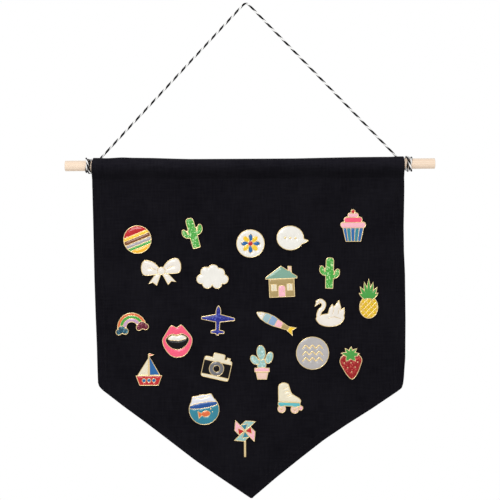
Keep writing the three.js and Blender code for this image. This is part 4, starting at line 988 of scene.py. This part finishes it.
for name, ((x0, drop), lean, colour, glitter, cells) in PINS.items():
    source = frame["nodes"][f"{name}_badge"]
    struck = bpy.data.objects.new(f"{name}_struck_badge", source.data.copy())
    struck.data.materials.clear()
    struck.data.materials.append(plating)
    scene.collection.objects.link(struck)
    select_only(struck)
    bpy.ops.object.mode_set(mode="EDIT")
    bpy.ops.mesh.select_all(action="SELECT")
    bpy.ops.mesh.remove_doubles(threshold=MERGE * MM)
    bpy.ops.object.mode_set(mode="OBJECT")
    mesh = bmesh.new()
    mesh.from_mesh(struck.data)
    mesh.verts.index_update()
    mesh.edges.index_update()
    forward = [face for face in mesh.faces if face.normal.y < -0.9]
    floors, rims = at_level(forward, CELL_FLOOR), at_level(forward, RIM_FRONT)

    # the enamel: each cell filled with its colour, crowned between the lines
    filled = bmesh.new()
    used = [(colour, glitter)]
    turn = math.radians(lean)
    for island in islands_of(floors):
        fill = used[0]
        triangles = np.array([flat_places(face.verts) for face in island])
        for tint, x, y in cells:
            x_turned = x * math.cos(turn) - y * math.sin(turn)
            y_turned = x * math.sin(turn) + y * math.cos(turn)
            if inside(triangles, np.array([(x0 + x_turned, DOWEL_Z - drop + y_turned)]))[0]:
                fill = (tint, tint in GLITTER_CELLS)
        if fill not in used:
            used.append(fill)
        corners, spots, room, faces = refined(island, ENAMEL_GRID)
        depth = ENAMEL_EDGE + ENAMEL_CROWN * (1 - np.exp(-room / CROWN_REACH))
        crown = [filled.verts.new((x * MM, (CELL_FLOOR - d) * MM, z * MM))
                 for (x, z), d in zip(spots, depth)]
        floor_corners = dict.fromkeys(v for face in island for v in face.verts)
        low = {v: filled.verts.new(v.co) for v in floor_corners}
        top = {corner: point for corner, point in zip(corners, crown) if corner}
        made = [filled.faces.new([crown[i] for i in face]) for face in faces]
        made += [filled.faces.new([low[v] for v in reversed(face.verts)]) for face in island]
        members = set(island)
        for face in island:
            for side in face.loops:
                if on_border(side.edge, members):
                    a, b = side.vert, side.link_loop_next.vert
                    made.append(filled.faces.new([low[a], low[b], top[b], top[a]]))
        for face in made:
            face.material_index = used.index(fill)
    bmesh.ops.recalc_face_normals(filled, faces=filled.faces)
    enamel = bpy.data.objects.new(f"{name}_enamel", bpy.data.meshes.new(f"{name}_enamel"))
    for fill in used:
        if fill not in enamels:
            enamels[fill] = new_enamel(*fill)
        enamel.data.materials.append(enamels[fill])
    filled.to_mesh(enamel.data)
    filled.free()
    scene.collection.objects.link(enamel)
    select_only(enamel)
    bpy.ops.object.shade_smooth_by_angle(angle=SMOOTH_ANGLE)
    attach(enamel, f"{name}_badge")

    # the metal: rims and lines with polished shoulders
    corners, spots, room, faces = refined(rims, RIM_GRID)
    bmesh.ops.delete(mesh, geom=rims, context="FACES")
    fall = RIM_ROUND * np.clip(1 - room / RIM_SHOULDER, 0, 1) ** 2
    crest = []
    for corner, (x, z), d in zip(corners, spots, fall):
        point = corner or mesh.verts.new()
        point.co = (x * MM, (RIM_FRONT + d) * MM, z * MM)
        crest.append(point)
    for face in faces:
        mesh.faces.new([crest[i] for i in face])
    mesh.to_mesh(struck.data)
    mesh.free()
    select_only(struck)
    bpy.ops.object.shade_smooth_by_angle(angle=SMOOTH_ANGLE)
    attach(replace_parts(struck, f"{name}_badge"), f"{name}_badge")


# Studio: a pale paper floor below the banner, white all round, and three soft lamps in front: a large
# one above on the left, one on the right, and a small one that shines in the enamel. The floor fades
# into the white before its edge.
FLOOR_DROP = 0.13
FLOOR_RADIUS = 0.72
FLOOR_FADE = (0.3, 0.68)
WORLD_LIGHT = 0.5
LAMP_AIM = Vector((0, 0, -0.25))
LAMPS = [  # place, power, size
    ("sky_lamp", (-0.9, -1.5, 1.2), 12, 1.6),
    ("fill_lamp", (1.3, -1.6, 0.2), 6, 1.4),
    ("key_lamp", (-0.28, -1.45, 0.2), 6.6, 0.4)]
bpy.ops.object.select_all(action="DESELECT")
bpy.ops.mesh.primitive_circle_add(
    vertices=64, radius=FLOOR_RADIUS, fill_type="NGON", location=(0, 0, cad_low.z - FLOOR_DROP))
floor = set_down(bpy.context.active_object, "studio_floor")
paper, tree, shader = new_material("white_paper")
point = node(tree, "ShaderNodeTexCoord").outputs["Object"]
flat_point = node(tree, "ShaderNodeVectorMath", {0: point, 1: (1, 1, 0)}, operation="MULTIPLY")
reach = node(tree, "ShaderNodeVectorMath", {0: flat_point}, operation="LENGTH")
fade = node(tree, "ShaderNodeMapRange", {
    "Value": reach, "From Min": FLOOR_FADE[0], "From Max": FLOOR_FADE[1]},
    interpolation_type="SMOOTHSTEP")
set_inputs(tree, shader, {"Base Color": linear("#f1f0ee"), "Roughness": 0.9})
glow = node(tree, "ShaderNodeEmission", {"Color": (1, 1, 1, 1), "Strength": 1.0})
blended = node(tree, "ShaderNodeMixShader", {"Fac": fade, 1: shader, 2: glow})
set_inputs(tree, tree.nodes["Material Output"], {"Surface": blended})
floor.data.materials.append(paper)

world = bpy.data.worlds.new("white_studio")
world.use_nodes = True
tree = world.node_tree
ray = node(tree, "ShaderNodeLightPath")
seen = node(tree, "ShaderNodeMath", {
    0: ray.outputs["Is Camera Ray"], 1: ray.outputs["Is Glossy Ray"]}, operation="MAXIMUM")
seen = node(tree, "ShaderNodeMath", {
    0: seen, 1: ray.outputs["Is Transmission Ray"]}, operation="MAXIMUM")
strength = node(tree, "ShaderNodeMapRange", {"Value": seen, "To Min": WORLD_LIGHT, "To Max": 1.0})
set_inputs(tree, tree.nodes["Background"], {"Color": (1, 1, 1, 1), "Strength": strength})
scene.world = world

for name, place, power, size in LAMPS:
    lamp = bpy.data.objects.new(name, bpy.data.lights.new(name, "AREA"))
    lamp.data.energy = power
    lamp.data.size = size
    lamp.location = place
    aim = LAMP_AIM - Vector(place)
    lamp.rotation_euler = aim.to_track_quat("-Z", "Y").to_euler()
    scene.collection.objects.link(lamp)
